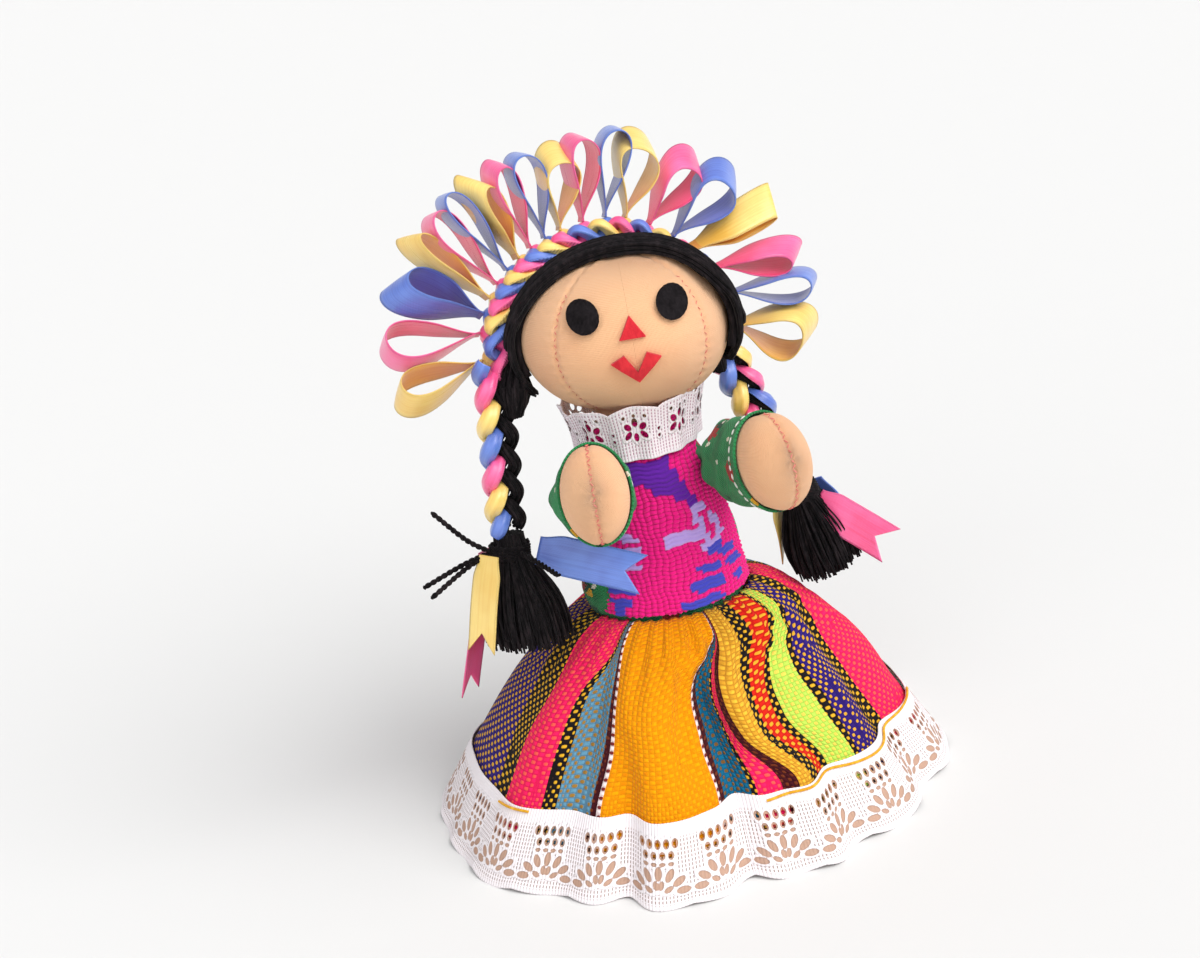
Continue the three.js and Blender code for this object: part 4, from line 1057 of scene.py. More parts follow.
def makeHead():
    azimuth = fullTurn(head["columns"])
    latitude = np.radians(np.linspace(-89, 89, head["rows"]))[:, None]
    ball = headPoint(azimuth, latitude)
    normal = gridNormals(ball, True)
    dip = np.zeros(ball.shape[:2])
    for seam in head["seams"]:
        gap = halfTurn(azimuth - math.radians(seam)) * head["halves"][0] * np.cos(latitude)
        pucker = 0.1 * np.sin(latitude * 14 * tau / 1.9 + seam) * np.exp(-((gap / 2.0) ** 2))
        dip += -0.38 * np.exp(-((gap / 0.55) ** 2)) + pucker
    lumps = 0.14 * np.sin(3 * azimuth + 1) * np.sin(4 * latitude + 0.5)
    lumps = lumps + 0.08 * np.sin(7 * azimuth) * np.cos(5 * latitude)
    ball = flattened(ball + normal * (dip + lumps)[..., None])
    ball = placed(ball, headFrame)
    # the underside is pushed up round the neck
    fromNeck = np.hypot(ball[..., 0], ball[..., 1] - trunk["setback"])
    room = head["neckRoom"]
    under = (fromNeck < room) & (ball[..., 2] < neck["ballHeight"] + 3)
    hollow = neck["ballHeight"] + np.sqrt(np.maximum(room ** 2 - fromNeck ** 2, 0))
    ball[..., 2] = np.where(under, hollow, ball[..., 2])
    uv = evenUv(head["rows"], head["columns"] + 1, 116, 48)
    piece = clothPiece("stuffed_head", ball, skinKnit, uv, capped=True)
    dress(piece, "head_and_crown", "skin_cloth", "head", "head_stuffing")

    paths, facings = [], []
    for seam in head["seams"][:2]:
        steps = np.radians(np.linspace(-58, 42, 90))
        line = flattened(headPoint(np.full(90, math.radians(seam)), steps, -0.2))
        paths.append(placed(line, headFrame))
        facings.append(unit(paths[-1] - np.array(head["centre"])))
    stitches = sewStitches("cheek_stitches", paths, facings, head["stitch"], pinkThread)
    dress(stitches, "head_and_crown", "skin_cloth")


def makeNeck():
    height = np.linspace(neck["bottom"], neck["top"], neck["rows"])[:, None]
    angles = fullTurn(neck["columns"])
    above = height - neck["ballHeight"]
    ball = np.sqrt(np.maximum(neck["ball"] ** 2 - above ** 2, 0.01))
    radius = np.where(above > 0, ball, np.interp(height, *neck["tube"]))
    stump = gridOf(radius * np.sin(angles), trunk["setback"] - radius * np.cos(angles), height)
    uv = evenUv(neck["rows"], neck["columns"] + 1, 50, 20)
    piece = clothPiece("neck_stump", stump, skinKnit, uv, capped=True)
    dress(piece, "neck_stump", "skin_cloth", "neck")


makeHead()
makeNeck()
print("head stuffed")


# Felt face: the cut shapes with softened, slightly raised edges
faceSlots = {"eye_left": "black_felt", "eye_right": "black_felt", "nose": "red_felt", "mouth": "red_felt"}
felts = {"black_felt": blackFelt, "red_felt": redFelt}


def makeFace():
    for name, slotName in faceSlots.items():
        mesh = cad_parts[name].data.copy()
        shape = bmesh.new()
        shape.from_mesh(mesh)
        bmesh.ops.remove_doubles(shape, verts=shape.verts, dist=1e-5)
        bmesh.ops.dissolve_limit(shape, angle_limit=math.radians(4), verts=shape.verts, edges=shape.edges)
        shape.to_mesh(mesh)
        shape.free()
        mesh.materials.clear()
        mesh.materials.append(felts[slotName])
        piece = bpy.data.objects.new(name + "_felt", mesh)
        scene.collection.objects.link(piece)
        soften = piece.modifiers.new("soften", "BEVEL")
        soften.width, soften.segments, soften.limit_method = 0.16 * mm, 3, "ANGLE"
        settle(piece)
        dress(piece, "head_and_crown", slotName, name)


makeFace()
print("face laid")


# Hair: black yarn laid from the parting round to a bunch at each ear
hair = {
    "halves": (21.6, 19.6, 16.2), "front": -5, "rear": 15.5, "yarn": 0.27, "seed": 5, "layers": 3,
    "rowsTop": 74, "rowsBack": 50, "rowsSide": 28, "sideRear": 4, "lowest": 123,
    "bunchHalves": (2.8, 3.6, 5.4),
    # the close layer under the yarn: how deep it lies, how far behind the yarn's front, and how far down
    "underDepth": 1.2, "underFront": 1.6, "underDrop": 4.7, "underCells": (60, 96),
}


# The hair follows the head's flatter side and is drawn forward there
def pressed(points):
    side = eased(points[..., 0] / 20, 0.2, 0.9)
    forward = np.clip((6 - points[..., 1]) / 11, 0, 1)
    out = np.array(points)
    out[..., 0] *= 1 - 0.09 * side
    out[..., 1] -= 4.3 * side * forward
    return out


def makeHair():
    rng = np.random.default_rng(hair["seed"])
    wide, deep, high = hair["halves"]
    bunches = {look["sign"]: headFrame.inverted() @ Vector(look["bunch"]) for look in dollSides.values()}
    paths = []

    def bunchEnd(sign):
        turn = rng.uniform(0, tau)
        spread = math.sqrt(rng.uniform(0.15, 1))
        bx, by, bz = bunches[sign]
        hx, hy, hz = hair["bunchHalves"]
        outward, rearward = hx * spread * math.cos(turn), hy * spread * math.sin(turn)
        middle = (bx + sign * outward, by + rearward, bz + rng.uniform(-1.2, 1.6))
        low = (bx + sign * (0.8 + 0.5 * outward), by + 0.5 * rearward, bz - hz * rng.uniform(0.86, 1.0))
        return [middle, low]

    # a place on the ball of hair, by its turn from the parting and its distance behind the head's middle
    def onBall(sign, turn, y, depth):
        share = math.sqrt(1 - (y / deep) ** 2)
        return sign * (wide - depth) * share * math.sin(turn), y, (high - depth) * share * math.cos(turn)

    def overTop(sign, y, depth):
        out = []
        for degrees in np.linspace(-5, 96, 12):
            pull = float(eased(degrees, 55, 100))
            out.append(onBall(sign, math.radians(degrees), y * (1 - 0.75 * pull), depth))
        return out

    def overBack(sign, rise, depth):
        out = []
        for degrees in np.linspace(-5, 78, 10):
            turn = math.radians(degrees)
            level = rise + (math.radians(-14) - rise) * float(eased(degrees, 10, 90))
            rear, up = (deep - depth) * math.cos(level), (high - depth) * math.sin(level)
            out.append((sign * (wide - depth) * math.sin(turn), rear * math.cos(turn), up * math.cos(turn)))
        return out

    # beside the cheek the yarn hangs lower before it turns back to the bunch
    def downSide(sign, y, depth):
        out = []
        last = hair["lowest"] - 2.2 * (y - hair["front"])
        for degrees in np.linspace(35, last, 10):
            pull = 0.6 * float(eased(degrees, 92, 130))
            sunk = depth + 1 - float(eased(degrees, 50, 78))
            out.append(onBall(sign, math.radians(degrees), y + (bunches[sign][1] - y) * pull, sunk))
        return out

    for sign in (-1, 1):
        for layer in range(hair["layers"]):
            for y in np.linspace(hair["front"], hair["rear"], hair["rowsTop"]):
                depth = layer * 0.7 + rng.uniform(-0.1, 0.25)
                paths.append(overTop(sign, y + rng.uniform(-0.15, 0.15), depth) + bunchEnd(sign))
            if layer < 2:
                for rise in np.radians(np.linspace(54, -30, hair["rowsBack"])):
                    depth = layer * 0.7 + rng.uniform(-0.1, 0.25)
                    paths.append(overBack(sign, rise + rng.uniform(-0.02, 0.02), depth) + bunchEnd(sign))
    for sign in (-1, 1):
        for layer in range(2):
            for y in np.linspace(hair["front"] + 0.5, hair["sideRear"], hair["rowsSide"]):
                depth = 0.3 + layer * 0.5 + rng.uniform(-0.1, 0.2)
                paths.append(downSide(sign, y + rng.uniform(-0.15, 0.15), depth) + bunchEnd(sign))
    drawn = [placed(pressed(smoothPath(path, 26)), headFrame) for path in paths]
    yarns = drawThreads("hair_yarn", drawn, hair["yarn"], hairYarn, sides=4)
    dress(yarns, "head_and_crown", "black_yarn", "hair_cap")


# A close layer under the yarn, so that no skin shows through
def makeHairBase():
    rows, columns = hair["underCells"]
    depth = hair["underDepth"]
    latitude = np.radians(np.linspace(-86, 86, rows))[:, None]
    under = ballPoint([half - depth for half in hair["halves"]], fullTurn(columns), latitude)
    beside = np.roll(under, -1, 1)
    cells = 0.25 * (under[:-1] + under[1:] + beside[:-1] + beside[1:])
    behindFront = cells[..., 1] > hair["front"] + hair["underFront"]
    covered = behindFront & (placed(cells, headFrame)[..., 2] > head["centre"][2] - hair["underDrop"])
    shell = clothPiece("hair_base", placed(pressed(under), headFrame), hairYarn,
                       evenUv(rows, columns + 1, 130, 56), keepCell=covered, thickness=depth)
    dress(shell, "head_and_crown", "black_yarn")


makeHair()
makeHairBase()
print("hair laid")


# Crown: three ribbons plaited over the hair, in a plane that is turned and leans back
crown = {
    "setback": 7, "turn": 14, "lean": -8, "sway": 2, "lift": 1.6, "rise": 1.38, "sink": 2.3, "tail": 6,
    "hair": (22, 20, 16.4), "strandWidth": 1.7, "strandDepth": 0.95, "clothWidth": 14, "steps": 300,
    "columns": 20, "order": ("yellow", "pink", "blue"),
}
crownTurned = turnedBy(crown["turn"], "Z") @ turnedBy(crown["lean"], "X")
crownFrame = headFrame @ Matrix.Translation((0, crown["setback"], 0)) @ crownTurned

# Ribbon loops: bands of satin that stand on the crown, from the doll's right to its left
loops = {
    "spread": 2.5, "rootLift": 2.58, "steps": 64, "across": 10, "thickness": 0.22, "rootWidth": 0.32,
    # bearing on the crown, heading, length, twist, how far the loop opens, its sideways bow,
    # and how far its front edge slips back
    "looks": [
        (-93, -104, 16, 32, 1.2, 0.6, 16), (-82.5, -90, 17, 23, 1.4, 0.9, 5),
        (-75.5, -56, 16.5, 42, 1.3, -0.8, 20), (-68.5, -43, 17.5, 20, 0.65, 0.5, 17),
        (-62, -36, 16.5, 9, 1.0, 0.7, 2), (-55, -26, 17, 4, 0.9, -0.5, 1),
        (-48.5, -20, 15.5, 22, 0.75, 0.4, 32), (-41, -14, 15.8, 6, 0.9, 0.6, 18),
        (-33, -2, 15.3, 2, 1.15, -0.5, 9), (-24.5, 9, 13.8, 6, 1.25, 0.5, 32),
        (-12, 13, 15, 8, 1.1, -0.4, 13), (1, 17, 15.8, -2, 1.1, 0.6, 11),
        (12.5, 26, 14.2, 5, 1.5, -0.6, 32), (27, 44, 14.4, 15, 1.3, 0.8, 34),
        (43.5, 54, 15.6, 12, 1.5, 0.5, 36), (56.5, 74, 17.5, 57, 0.5, -0.4, 20),
        (72, 91, 16.5, 29, 0.85, 0.6, 34), (87, 99, 16.8, 15, 1.05, -0.5, 27),
        (103.5, 107, 15.5, 35, 1.75, 0.6, 34),
    ],
}


# A point at a bearing on the crown, raised from the plait's middle and moved back, and its outward direction
def crownPoint(degrees, lift, back):
    a = np.radians(np.asarray(degrees, float))
    spoke = np.stack([np.sin(a), 0 * a, np.cos(a)], -1)
    ray = spoke @ np.array(crownTurned)[:3, :3].T / crown["hair"]
    start = np.array((0, crown["setback"], 0)) / crown["hair"]
    square, along = np.sum(ray * ray, -1), ray @ start
    hairReach = (np.sqrt(along ** 2 - square * (start @ start - 1)) - along) / square
    sunk = crown["sink"] * eased(degrees, 0, 55)   # the hair hides it on the doll's left
    point = spoke * (hairReach + crown["rise"] + lift - sunk)[..., None]
    point[..., 1] = back + 0.6 * sunk
    return point, spoke


# Turns of the plait at a bearing: a third of a turn from each loop to the next
def crownTurns(degrees):
    at = [look[0] for look in loops["looks"]]
    at = [2 * at[0] - at[1], *at, 2 * at[-1] - at[-2]]
    return np.interp(degrees, at, np.arange(-1, len(at) - 1) / 3)


# A ribbon gathered into a soft strand: an oval swept along a path, its flat side square to the given normals
def strandGrid(path, normals, halfWidth, halfDepth, columns):
    tangent = unit(np.gradient(path, axis=0))
    out = unit(normals - tangent * np.sum(normals * tangent, axis=1, keepdims=True))
    side = np.cross(tangent, out)
    turn = fullTurn(columns)
    swell = 1 + 0.1 * np.cos(5 * turn + 0.6 * np.sin(np.linspace(0, 30, len(path)))[:, None])
    wide, deep = halfWidth * np.cos(turn) * swell, halfDepth * np.sin(turn) * swell
    return path[:, None] + side[:, None] * wide[..., None] + out[:, None] * deep[..., None]


# Cloth measures of a ribbon: its length along a path and its width across
def bandUv(path, width, columns):
    return gridOf(np.linspace(0, runAlong(path)[-1], len(path))[:, None], np.linspace(0, width, columns))


def makeCrown():
    first, last = loops["looks"][0][0] - crown["tail"], loops["looks"][-1][0] + crown["tail"]
    degrees = np.linspace(first, last, crown["steps"])
    for strand, ink in enumerate(crown["order"]):
        phase = tau * (crownTurns(degrees) - strand / 3) + math.pi / 4
        path, normal = crownPoint(degrees, crown["lift"] * np.sin(2 * phase), crown["sway"] * np.sin(phase))
        grid = strandGrid(path, normal, crown["strandWidth"], crown["strandDepth"], crown["columns"])
        uv = bandUv(path, crown["clothWidth"], crown["columns"] + 1)
        piece = clothPiece("crown_ribbon_" + ink, placed(grid, crownFrame), satins[ink], uv, capped=True)
        dress(piece, "head_and_crown", ink + "_ribbon", "crown_" + ink)


makeCrown()
print("crown plaited")


def makeLoops():
    for k, (degrees, heading, length, twist, opening, bow, slip) in enumerate(loops["looks"]):
        root, _ = crownPoint(degrees, np.array(loops["rootLift"]), crown["sway"] * math.sqrt(0.5))
        stand = crownFrame @ Matrix.Translation(root.tolist()) @ turnedBy(heading, "Y")
        turn = np.linspace(0.06, tau - 0.06, loops["steps"])[:, None]
        rise = (1 - np.cos(turn)) / 2
        z = length * rise
        x = loops["spread"] * opening * np.sin(turn) * np.sin(turn / 2) ** 2 / 0.65 + bow * 1.5 * rise ** 2
        width = satin["width"] * (loops["rootWidth"] + (1 - loops["rootWidth"]) * eased(rise, 0.0, 0.5))
        places = np.linspace(-0.5, 0.5, loops["across"])
        y = places * width
        # the band bows a little across its width
        bowed = x + 0.22 * (1 - (2 * places) ** 2) * np.sign(np.sin(turn)) * rise
        angle = np.radians(twist) * (0.7 + 0.3 * eased(rise, 0.1, 0.9))
        cosine, sine = np.cos(angle), np.sin(angle)
        up = z + math.tan(math.radians(slip)) * y * rise
        band = np.stack([bowed * cosine - y * sine, bowed * sine + y * cosine, up], -1)
        run = runAlong(np.hstack([x, z]))[:, None]
        uv = gridOf(run + 13 * k, (places + 0.5) * satin["width"])
        # painted shade, darkest at the loop's root where the band is pinched together
        pinch = (1 - eased(rise, 0.1, 0.75)) * np.ones_like(y)
        ink = crown["order"][k % 3]
        piece = clothPiece("loop_%02d_%s" % (k + 1, ink), placed(band, stand), satins[ink], uv, around=False,
                           thickness=loops["thickness"], shadedInside=shadedSatins[ink], values={"pinch": pinch})
        dress(piece, "head_and_crown", ink + "_ribbon", "ribbon_loop_%02d" % (k + 1))


makeLoops()
print("loops folded")


# Side plaits: three strands of yarn, with a ribbon folded over each where it comes to the front
plait = {
    "length": {"right": 23, "left": 26}, "pitch": 14.6, "sway": 2.2, "lift": 1.6, "steps": 150, "yarns": 9,
    "yarn": 0.34, "bundle": 0.9, "ribbonRadius": 1.5, "ribbonSteps": 40, "ribbonAcross": 22,
    "start": {"right": -6.5, "left": -0.6}, "shift": {"right": 1.1, "left": 0.3},
    "inks": {"right": ("blue", "yellow", "pink"), "left": ("yellow", "blue", "pink")},
    # where in a strand's turn a ribbon shows, its outward direction and half its arc in degrees
    "towardRight": (math.pi - 0.35, 1.5 * math.pi + 0.95, (-0.75, -0.66, 0.0), 88),
    "towardLeft": (-0.3, 0.5 * math.pi + 0.9, (0.75, -0.66, 0.0), 55),
    "folds": {"right": ("towardRight",), "left": ("towardRight", "towardLeft")},
}


def plaitFrame(side):
    look = dollSides[side]
    turned = turnedBy(-look["plaitForward"], "X") @ turnedBy(-look["sign"] * look["plaitOutward"], "Y")
    return Matrix.Translation(look["ear"]) @ turned


def strandPath(side, strand, fall):
    phase = tau * ((fall + plait["shift"][side]) / plait["pitch"] + strand / 3)
    return np.stack([plait["sway"] * np.sin(phase), -plait["lift"] * np.sin(2 * phase), -fall], 1)


# The lengths of a strand, as pairs of falls, where its turn lies between two angles
def shownFalls(side, strand, first, last):
    pitch, shift = plait["pitch"], plait["shift"][side]
    out = []
    for n in range(-2, 4):
        low, high = ((angle / tau + n - strand / 3) * pitch - shift for angle in (first, last))
        low, high = max(low, plait["start"][side]), min(high, plait["length"][side] + 0.6)
        if high - low > 1.5:
            out.append((low, high))
    return out


# A ribbon folded over a length of a strand
def foldRibbon(side, strand, number, span, outward, arc):
    fall = np.linspace(*span, plait["ribbonSteps"])
    path = strandPath(side, strand, fall)
    tangent = unit(np.gradient(path, axis=0))
    out = unit(np.array(outward) - tangent * np.sum(outward * tangent, axis=1, keepdims=True))
    beside = np.cross(tangent, out)
    turn = np.radians(np.linspace(-arc, arc, plait["ribbonAcross"]))
    ends = 1 - 0.3 * (1 - np.sin(math.pi * np.linspace(0.12, 0.88, plait["ribbonSteps"])))[:, None]
    pleat = plait["ribbonRadius"] * ends * (1 + 0.045 * np.cos(6 * turn + 0.5 * fall[:, None]))
    over, across = (pleat * np.cos(turn))[..., None], (pleat * np.sin(turn))[..., None]
    grid = placed(path[:, None] + out[:, None] * over + beside[:, None] * across, plaitFrame(side))
    ink = plait["inks"][side][strand]
    uv = bandUv(path, satin["width"], plait["ribbonAcross"])
    ribbon = clothPiece("plait_%s_ribbon_%s_%d" % (side, ink, number), grid, satins[ink], uv, around=False,
                        thickness=0.2, flip=True)
    # the topmost folds are held by the hair
    dress(ribbon, "head_and_crown" if span[0] < -1.5 else side + "_plait", ink + "_ribbon")


def makePlait(side):
    stand = plaitFrame(side)
    yarns = []
    for strand in range(3):
        path = strandPath(side, strand, np.linspace(-1.2, plait["length"][side], plait["steps"]))
        yarns.append(placed(path, stand))
        yarns.extend(placed(line, stand) for line in ply(path, plait["bundle"], 26, plait["yarns"] - 1))
        number = 0
        for fold in plait["folds"][side]:
            first, last, outward, arc = plait[fold]
            for span in shownFalls(side, strand, first, last):
                number += 1
                foldRibbon(side, strand, number, span, outward, arc)
    piece = drawThreads("plait_%s_yarn" % side, yarns, plait["yarn"], hairYarn, sides=5)
    dress(piece, side + "_plait", "black_yarn", *["plait_%s_%d" % (side, k) for k in (1, 2, 3)])


for side in dollSides:
    makePlait(side)
print("side plaits made")


# Tassels, the yarn that ties them, and the ribbon ends left at the tie
tassel = {
    "drop": {"right": 25.9, "left": 28.9}, "length": {"right": 19.5, "left": 17.6},
    "half": {"right": 7.8, "left": 6.6}, "lean": {"right": 2.2, "left": -1},
    "top": 1.9, "neck": 2.6, "yarns": 560, "yarn": 0.19, "seed": 11, "tieRadius": 3.3, "tieYarn": 0.28,
    "tiePly": (0.24, 2.2, 2), "tieTurns": 4, "tieTop": 0.6, "tieHeight": 3.6,
    "tailRoot": 5, "tailCells": (34, 13),
    # bearing, slant and length of each loose end of the tying yarn
    "ends": {
        "right": [(4, 135, 12), (112, 78, 11), (0, 66, 12), (6, 57, 12)],
        "left": [(-92, 105, 9), (-92, 70, 12)],
    },
    # ink, bearing, slant, roll and length of each ribbon end, and how far its root is moved inward and down
    "tails": {
        "right": [("blue", 146, 78, -75, 20), ("yellow", 32, 14, 0, 17), ("pink", -34, 11, 0, 27)],
        "left": [("pink", 52, 43, -56, 16, 4, 2.5), ("blue", -45, 12, 0, 18), ("yellow", -135, 16, 0, 12)],
    },
}


def tieExit(sign, bearing, slant):
    turn, lean = math.radians(bearing), math.radians(slant)
    out = np.array([sign * math.cos(turn), -math.sin(turn), 0.0])
    direction = out * math.sin(lean) + np.array([0, 0, -math.cos(lean)])
    return out, direction


def makeTail(side, stand, ink, bearing, slant, roll, length, inward=0, lower=0):
    out, direction = tieExit(dollSides[side]["sign"], bearing, slant)
    half = satin["width"] / 2
    lean, turn = math.radians(slant), math.radians(roll)
    cosine, sine = math.cos(turn), math.sin(turn)
    beside = min(half, tassel["tieHeight"] / 2 / math.sin(lean))
    start = tassel["tailRoot"] + beside * abs(sine * math.cos(lean))
    root = out * (start - inward) + np.array([0, 0, tassel["tieTop"] - tassel["tieHeight"] / 2 - lower])
    flat = unit(np.cross(out, -direction))
    face = np.cross(-direction, flat)
    across, face = flat * cosine + face * sine, face * cosine - flat * sine
    rows, columns = tassel["tailCells"]
    places = np.linspace(-1, 1, columns)
    share = np.linspace(0, 1, rows)[:, None]
    along = share * (length - half * (1 - np.abs(places)))   # the fishtail end
    wave = 0.35 * np.sin(share * 4.2 + bearing) * share + 0.25 * (1 - places ** 2) * share
    spread = half * places * (0.72 + 0.28 * eased(share, 0, 0.25))
    grid = root + across * spread[..., None] + direction * along[..., None] + face * wave[..., None]
    uv = gridOf(along, half + half * places)
    piece = clothPiece("tail_%s_%s_ribbon" % (side, ink), placed(grid, stand), satins[ink], uv, around=False,
                       thickness=0.22)
    dress(piece, side + "_tassel", ink + "_ribbon", "tail_%s_%s" % (side, ink))


def makeBrush(side, stand):
    rng = np.random.default_rng(tassel["seed"] + len(side))
    narrow, wide, top = tassel["neck"], tassel["half"][side], tassel["top"]
    lines = []
    for _ in range(tassel["yarns"]):
        turn = rng.uniform(0, tau)
        spread = math.sqrt(rng.uniform(0.02, 1))
        sway = rng.normal(0, 0.45, 2)
        bottom = -tassel["length"][side] + rng.uniform(0, 2.4) + 1.2 * spread ** 2
        points = []
        for share in np.linspace(0, 1, 6):
            radius = spread * (narrow + (wide - narrow) * float(eased(share, 0.08, 0.8)))
            x = radius * math.cos(turn) + sway[0] * math.sin(3 * share) + tassel["lean"][side] * share ** 1.5
            y = radius * math.sin(turn) + sway[1] * math.sin(3 * share)
            points.append((x, y, top + (bottom - top) * share))
        lines.append(placed(smoothPath(points, 12), stand))
    brush = drawThreads("tassel_%s_yarn" % side, lines, tassel["yarn"], hairYarn, sides=4)
    dress(brush, side + "_tassel", "black_yarn", "tassel_" + side)


def makeTie(side, stand):
    radius, top, height = tassel["tieRadius"], tassel["tieTop"], tassel["tieHeight"]
    turns = np.linspace(0, tau * tassel["tieTurns"], 130)
    fall = top - 0.6 - (height - 1.2) * turns / turns[-1]
    tied = list(ply(np.stack([radius * np.cos(turns), radius * np.sin(turns), fall], 1), *tassel["tiePly"]))
    for bearing, slant, length in tassel["ends"][side]:
        out, direction = tieExit(dollSides[side]["sign"], bearing, slant)
        root = out * radius + np.array([0, 0, top - height / 2])
        bend = root + direction * length / 3 + out * 1.5
        tip = root + direction * length + out * 1.5
        tied.extend(ply(smoothPath([root, bend, tip], 60), *tassel["tiePly"]))
    tied = [placed(line, stand) for line in tied]
    tie = drawThreads("tie_%s_yarn" % side, tied, tassel["tieYarn"], hairYarn, sides=7)
    dress(tie, side + "_tassel", "black_yarn", "tie_" + side)


def makeTassel(side):
    stand = plaitFrame(side) @ Matrix.Translation((0, 0, -tassel["drop"][side]))
    makeBrush(side, stand)
    makeTie(side, stand)
    for tail in tassel["tails"][side]:
        makeTail(side, stand, *tail)


for side in dollSides:
    makeTassel(side)
print("tassels, ties and ribbon ends made")


# Arms: stuffed hands with a seam over the tip, in printed sleeves with a topstitched cuff
arm = {
    "shoulder": (11.891, -6.753, 62), "root": 4.6, "length": 27, "handCentre": 20, "hand": (5.7, 8.3),
    "columns": 96, "rows": 110, "sleeve": (-4.4, 17.5), "sleeveRows": 60, "puff": 3.2,
    "clear": {"right": 0.6, "left": 0.1}, "stitchFromEdge": 2.7,
    "topstitch": {"spacing": 1.5, "length": 1.2, "thickness": 0.34, "zigzag": 4},
    "seam": {"spacing": 0.85, "length": 0.95, "thickness": 0.2, "zigzag": 40},
}


def armFrame(side):
    look = dollSides[side]
    x, y, z = arm["shoulder"]
    turned = turnedBy(look["sign"] * look["armYaw"], "Z") @ turnedBy(-look["armPitch"], "X")
    return Matrix.Translation((look["sign"] * x, y, z)) @ turned


# A stuffed limb along minus y: a ball at its root, widening to the given halves, rounded at its tip
def limbGrid(along, root, swellAt, length, halves, columns):
    along = along[:, None]
    angles = fullTurn(columns)
    swell = eased(along, 0, swellAt)
    behind = np.sqrt(np.maximum(1 - (np.minimum(along, 0) / root) ** 2, 0.0001))
    ahead = np.sqrt(np.maximum(1 - (np.maximum(along - swellAt, 0) / (length - swellAt)) ** 2, 0.0001))
    width, height = ((root + (half - root) * swell) * behind * ahead for half in halves)
    return gridOf(width * np.sin(angles), -along, height * np.cos(angles))


def limbRows(root, swellAt, length, rows):
    turn = np.radians(np.linspace(88, 0, rows // 4))
    start = -root * np.sin(turn)
    end = swellAt + (length - swellAt) * np.sin(turn[::-1])
    return np.concatenate([start[:-1], np.linspace(0, swellAt, rows // 2), end[1:]])


def armGrid(along):
    return limbGrid(along, arm["root"], arm["handCentre"], arm["length"], arm["hand"], arm["columns"])


def makeArm(side):
    along = limbRows(arm["root"], arm["handCentre"], arm["length"], arm["rows"])
    limb = armGrid(along)
    gap, front = limb[..., 0], eased(along, 12, 18)[:, None]
    pucker = 0.08 * np.sin(limb[..., 2] * tau / 1.7) * np.exp(-((gap / 1.8) ** 2))
    dip = (pucker - 0.35 * np.exp(-((gap / 0.5) ** 2))) * front
    limb = placed(limb - gridNormals(limb, True) * dip[..., None], armFrame(side))
    run = runAlong(limb[:, 0])[:, None]
    uv = gridOf(np.linspace(0, 42, arm["columns"] + 1), run)
    piece = clothPiece("stuffed_arm_" + side, limb, skinKnit, uv, capped=True, flip=True)
    dress(piece, side + "_arm", "skin_cloth", "arm_" + side)


# The seam runs from the top of the hand over the tip to the underside
def makeHandSeam(side):
    stand = armFrame(side)
    turn = np.radians(np.linspace(-84, 84, 70))
    middle, cosine, sine = 0 * turn, np.cos(turn), np.sin(turn)
    reach, high = arm["length"] - arm["handCentre"], arm["hand"][1]
    seam = np.stack([middle, 0.12 - arm["handCentre"] - reach * cosine, -high * sine], 1)
    facing = unit(np.stack([middle, -cosine / reach, -sine / high], 1)) @ np.array(stand)[:3, :3].T
    stitches = sewStitches("hand_stitches_" + side, [placed(seam, stand)], [facing], arm["seam"],
                           pinkThread, 5)
    dress(stitches, side + "_arm", "skin_cloth")


# The sleeve is puffed over the upper arm, less on the side by the trunk, and close to the hand at its edge
def makeSleeve(side):
    sign = dollSides[side]["sign"]
    angles = fullTurn(arm["columns"])
    first, last = arm["sleeve"]
    levels = np.linspace(first, last, arm["sleeveRows"])
    sleeve = armGrid(levels)
    level = levels[:, None]
    free = 0.35 + 0.65 * (0.5 + 0.5 * sign * np.sin(angles))
    # the top stays clear of the collar, which leans towards the right arm
    free = free * (1 - arm["clear"][side] * np.maximum(0, np.cos(angles)) * (1 - eased(level, 1, 9)))
    lift = 0.5 + arm["puff"] * free * (1 - eased(level, 2, 16.5)) * eased(level, -1.5, 3)
    crease = 0.3 * np.sin(7 * angles + 0.25 * level + sign) * (1 - eased(level, 4, 14))
    share = (level - first) / (last - first)
    rumple = 0.22 * np.sin(0.9 * level + 2 * np.sin(2 * angles)) * np.sin(math.pi * share)
    roll = 0.22 * np.exp(-(((level - last + 0.5) / 0.6) ** 2))
    sleeve = sleeve - gridNormals(sleeve, True) * (lift + crease + rumple + roll)[..., None]
    sleeve = placed(sleeve, armFrame(side))
    uv = evenUv(arm["sleeveRows"], arm["columns"] + 1, 44, last - first)
    piece = clothPiece("sleeve_%s_cloth" % side, sleeve, greenPrint, uv, thickness=0.4, flip=True)
    dress(piece, side + "_arm", "green_print", "sleeve_" + side)
    areaOf(sleeve, True)

    row = int(np.argmin(np.abs(levels - (last - arm["stitchFromEdge"]))))
    ring = np.vstack([sleeve[row], sleeve[row][:1]])
    facing = -gridNormals(sleeve, True)[row]
    facing = np.vstack([facing, facing[:1]])
    stitches = sewStitches("cuff_stitches_" + side, [ring + facing * 0.08], [facing], arm["topstitch"],
                           whiteThread, 9)
    dress(stitches, side + "_arm", "green_print")


for side in dollSides:
    makeArm(side)
    makeHandSeam(side)
    makeSleeve(side)
print("arms and sleeves made")


# Legs: plain stuffed tubes under the skirt
leg = {"spread": 6.5, "hip": 24.1, "radius": 5.6, "foot": 5.2, "lift": 0.8, "columns": 64, "rows": 80}


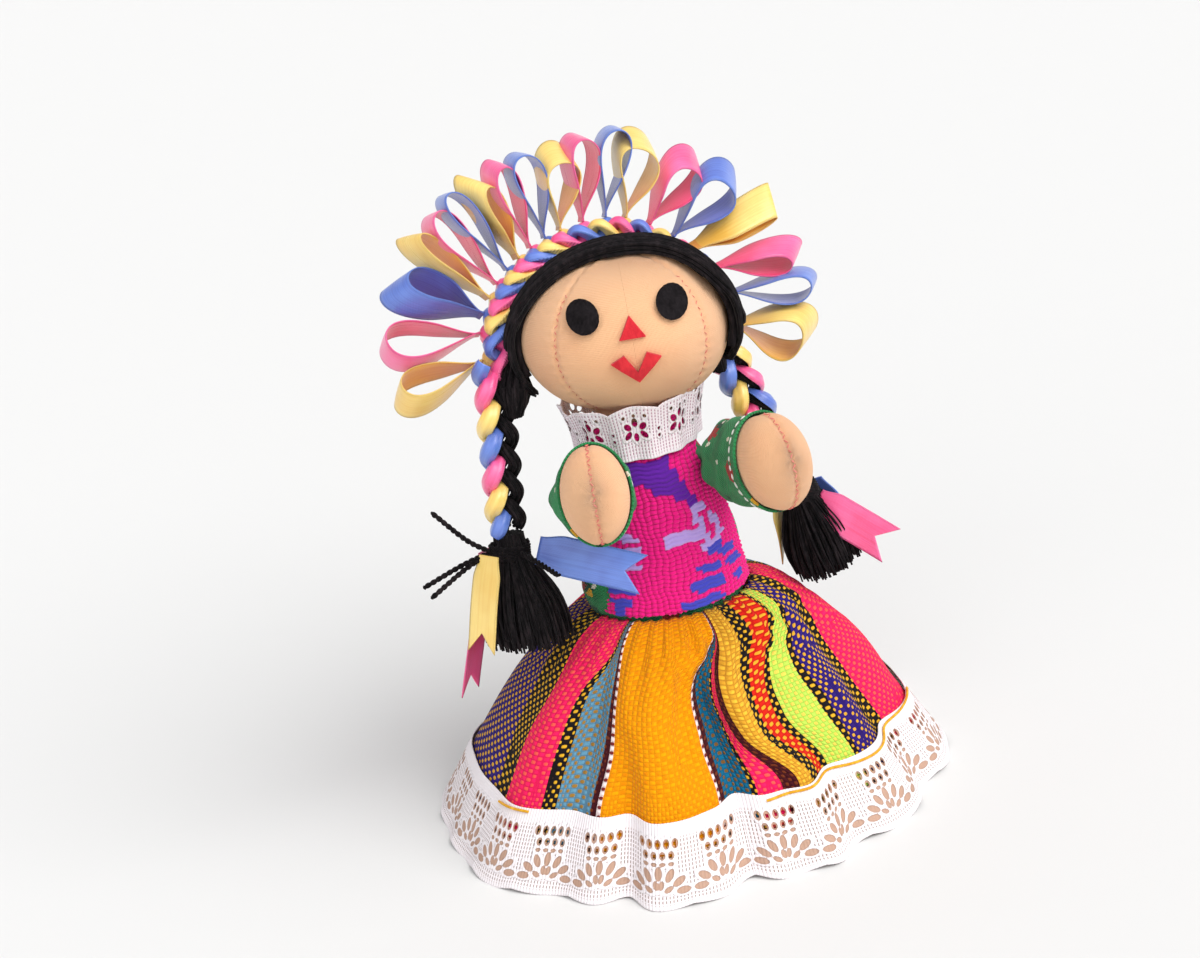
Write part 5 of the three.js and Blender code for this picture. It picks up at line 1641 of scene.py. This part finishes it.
def makeLeg(side):
    length = leg["hip"] - leg["lift"]
    swellAt = length - leg["foot"]
    along = limbRows(leg["radius"], swellAt, length, leg["rows"])
    limb = limbGrid(along, leg["radius"], swellAt, length, (leg["foot"], leg["foot"]), leg["columns"])
    dip = -0.3 * np.exp(-((limb[..., 0] / 0.5) ** 2)) * (limb[..., 2] < 0)
    hip = (dollSides[side]["sign"] * leg["spread"], trunk["setback"], leg["hip"])
    stand = Matrix.Translation(hip) @ turnedBy(90, "X")
    limb = placed(limb - gridNormals(limb, True) * dip[..., None], stand)
    uv = evenUv(len(along), leg["columns"] + 1, 35, 30)
    piece = clothPiece("stuffed_leg_" + side, limb, skinKnit, uv, capped=True, flip=True)
    dress(piece, side + "_leg", "skin_cloth", "leg_" + side)


for side in dollSides:
    makeLeg(side)
print("legs made")


# Floor and light
studio = {
    "floor": colour(226, 225, 223), "grain": (0.7, 0.7, 0.7, 1), "reach": 6.0, "rim": 1.1, "around": 48,
    "sky": colour(244, 246, 250), "skyStrength": 0.58,
    # name, place, strength and softness in degrees of each lamp
    "lamps": [("window", (0.6, -0.6, 0.9), 2.5, 50), ("room", (-0.4, -1, 0.2), 1.6, 100)],
}


def makeStudio():
    material, wire, shader = newCloth("pale_floor")
    grain = speckle(wire, 60, 3) * 0.06
    finishCloth(wire, shader, grain.tint(studio["floor"], studio["grain"]), 0.9)
    mesh = bpy.data.meshes.new("floor")
    turn = fullTurn(studio["around"])
    radius = np.array([0.0, 0.5, 1.5, *np.linspace(2, studio["reach"], 14)])[:, None]
    rise = studio["rim"] * eased(radius, 2, studio["reach"])
    ground = gridOf(radius * np.sin(turn), radius * np.cos(turn), rise)
    corners = np.arange(ground.size // 3).reshape(-1, studio["around"])
    beside = np.roll(corners, -1, 1)
    rings = np.stack([corners[:-1], corners[1:], beside[1:], beside[:-1]], -1)
    mesh.from_pydata(ground.reshape(-1, 3).tolist(), [], rings.reshape(-1, 4).tolist())
    mesh.polygons.foreach_set("use_smooth", [True] * len(mesh.polygons))
    mesh.materials.append(material)
    floor = bpy.data.objects.new("floor", mesh)
    scene.collection.objects.link(floor)

    world = bpy.data.worlds.new("soft_room")
    world.use_nodes = True
    sky = world.node_tree.nodes["Background"]
    sky.inputs["Color"].default_value = studio["sky"]
    sky.inputs["Strength"].default_value = studio["skyStrength"]
    scene.world = world

    for name, place, strength, softness in studio["lamps"]:
        data = bpy.data.lights.new(name, "SUN")
        data.energy, data.angle = strength, math.radians(softness)
        lamp = bpy.data.objects.new(name, data)
        scene.collection.objects.link(lamp)
        lamp.location = place
        lamp.rotation_euler = (-Vector(place)).to_track_quat("-Z", "Y").to_euler()


makeStudio()
print("studio lit")
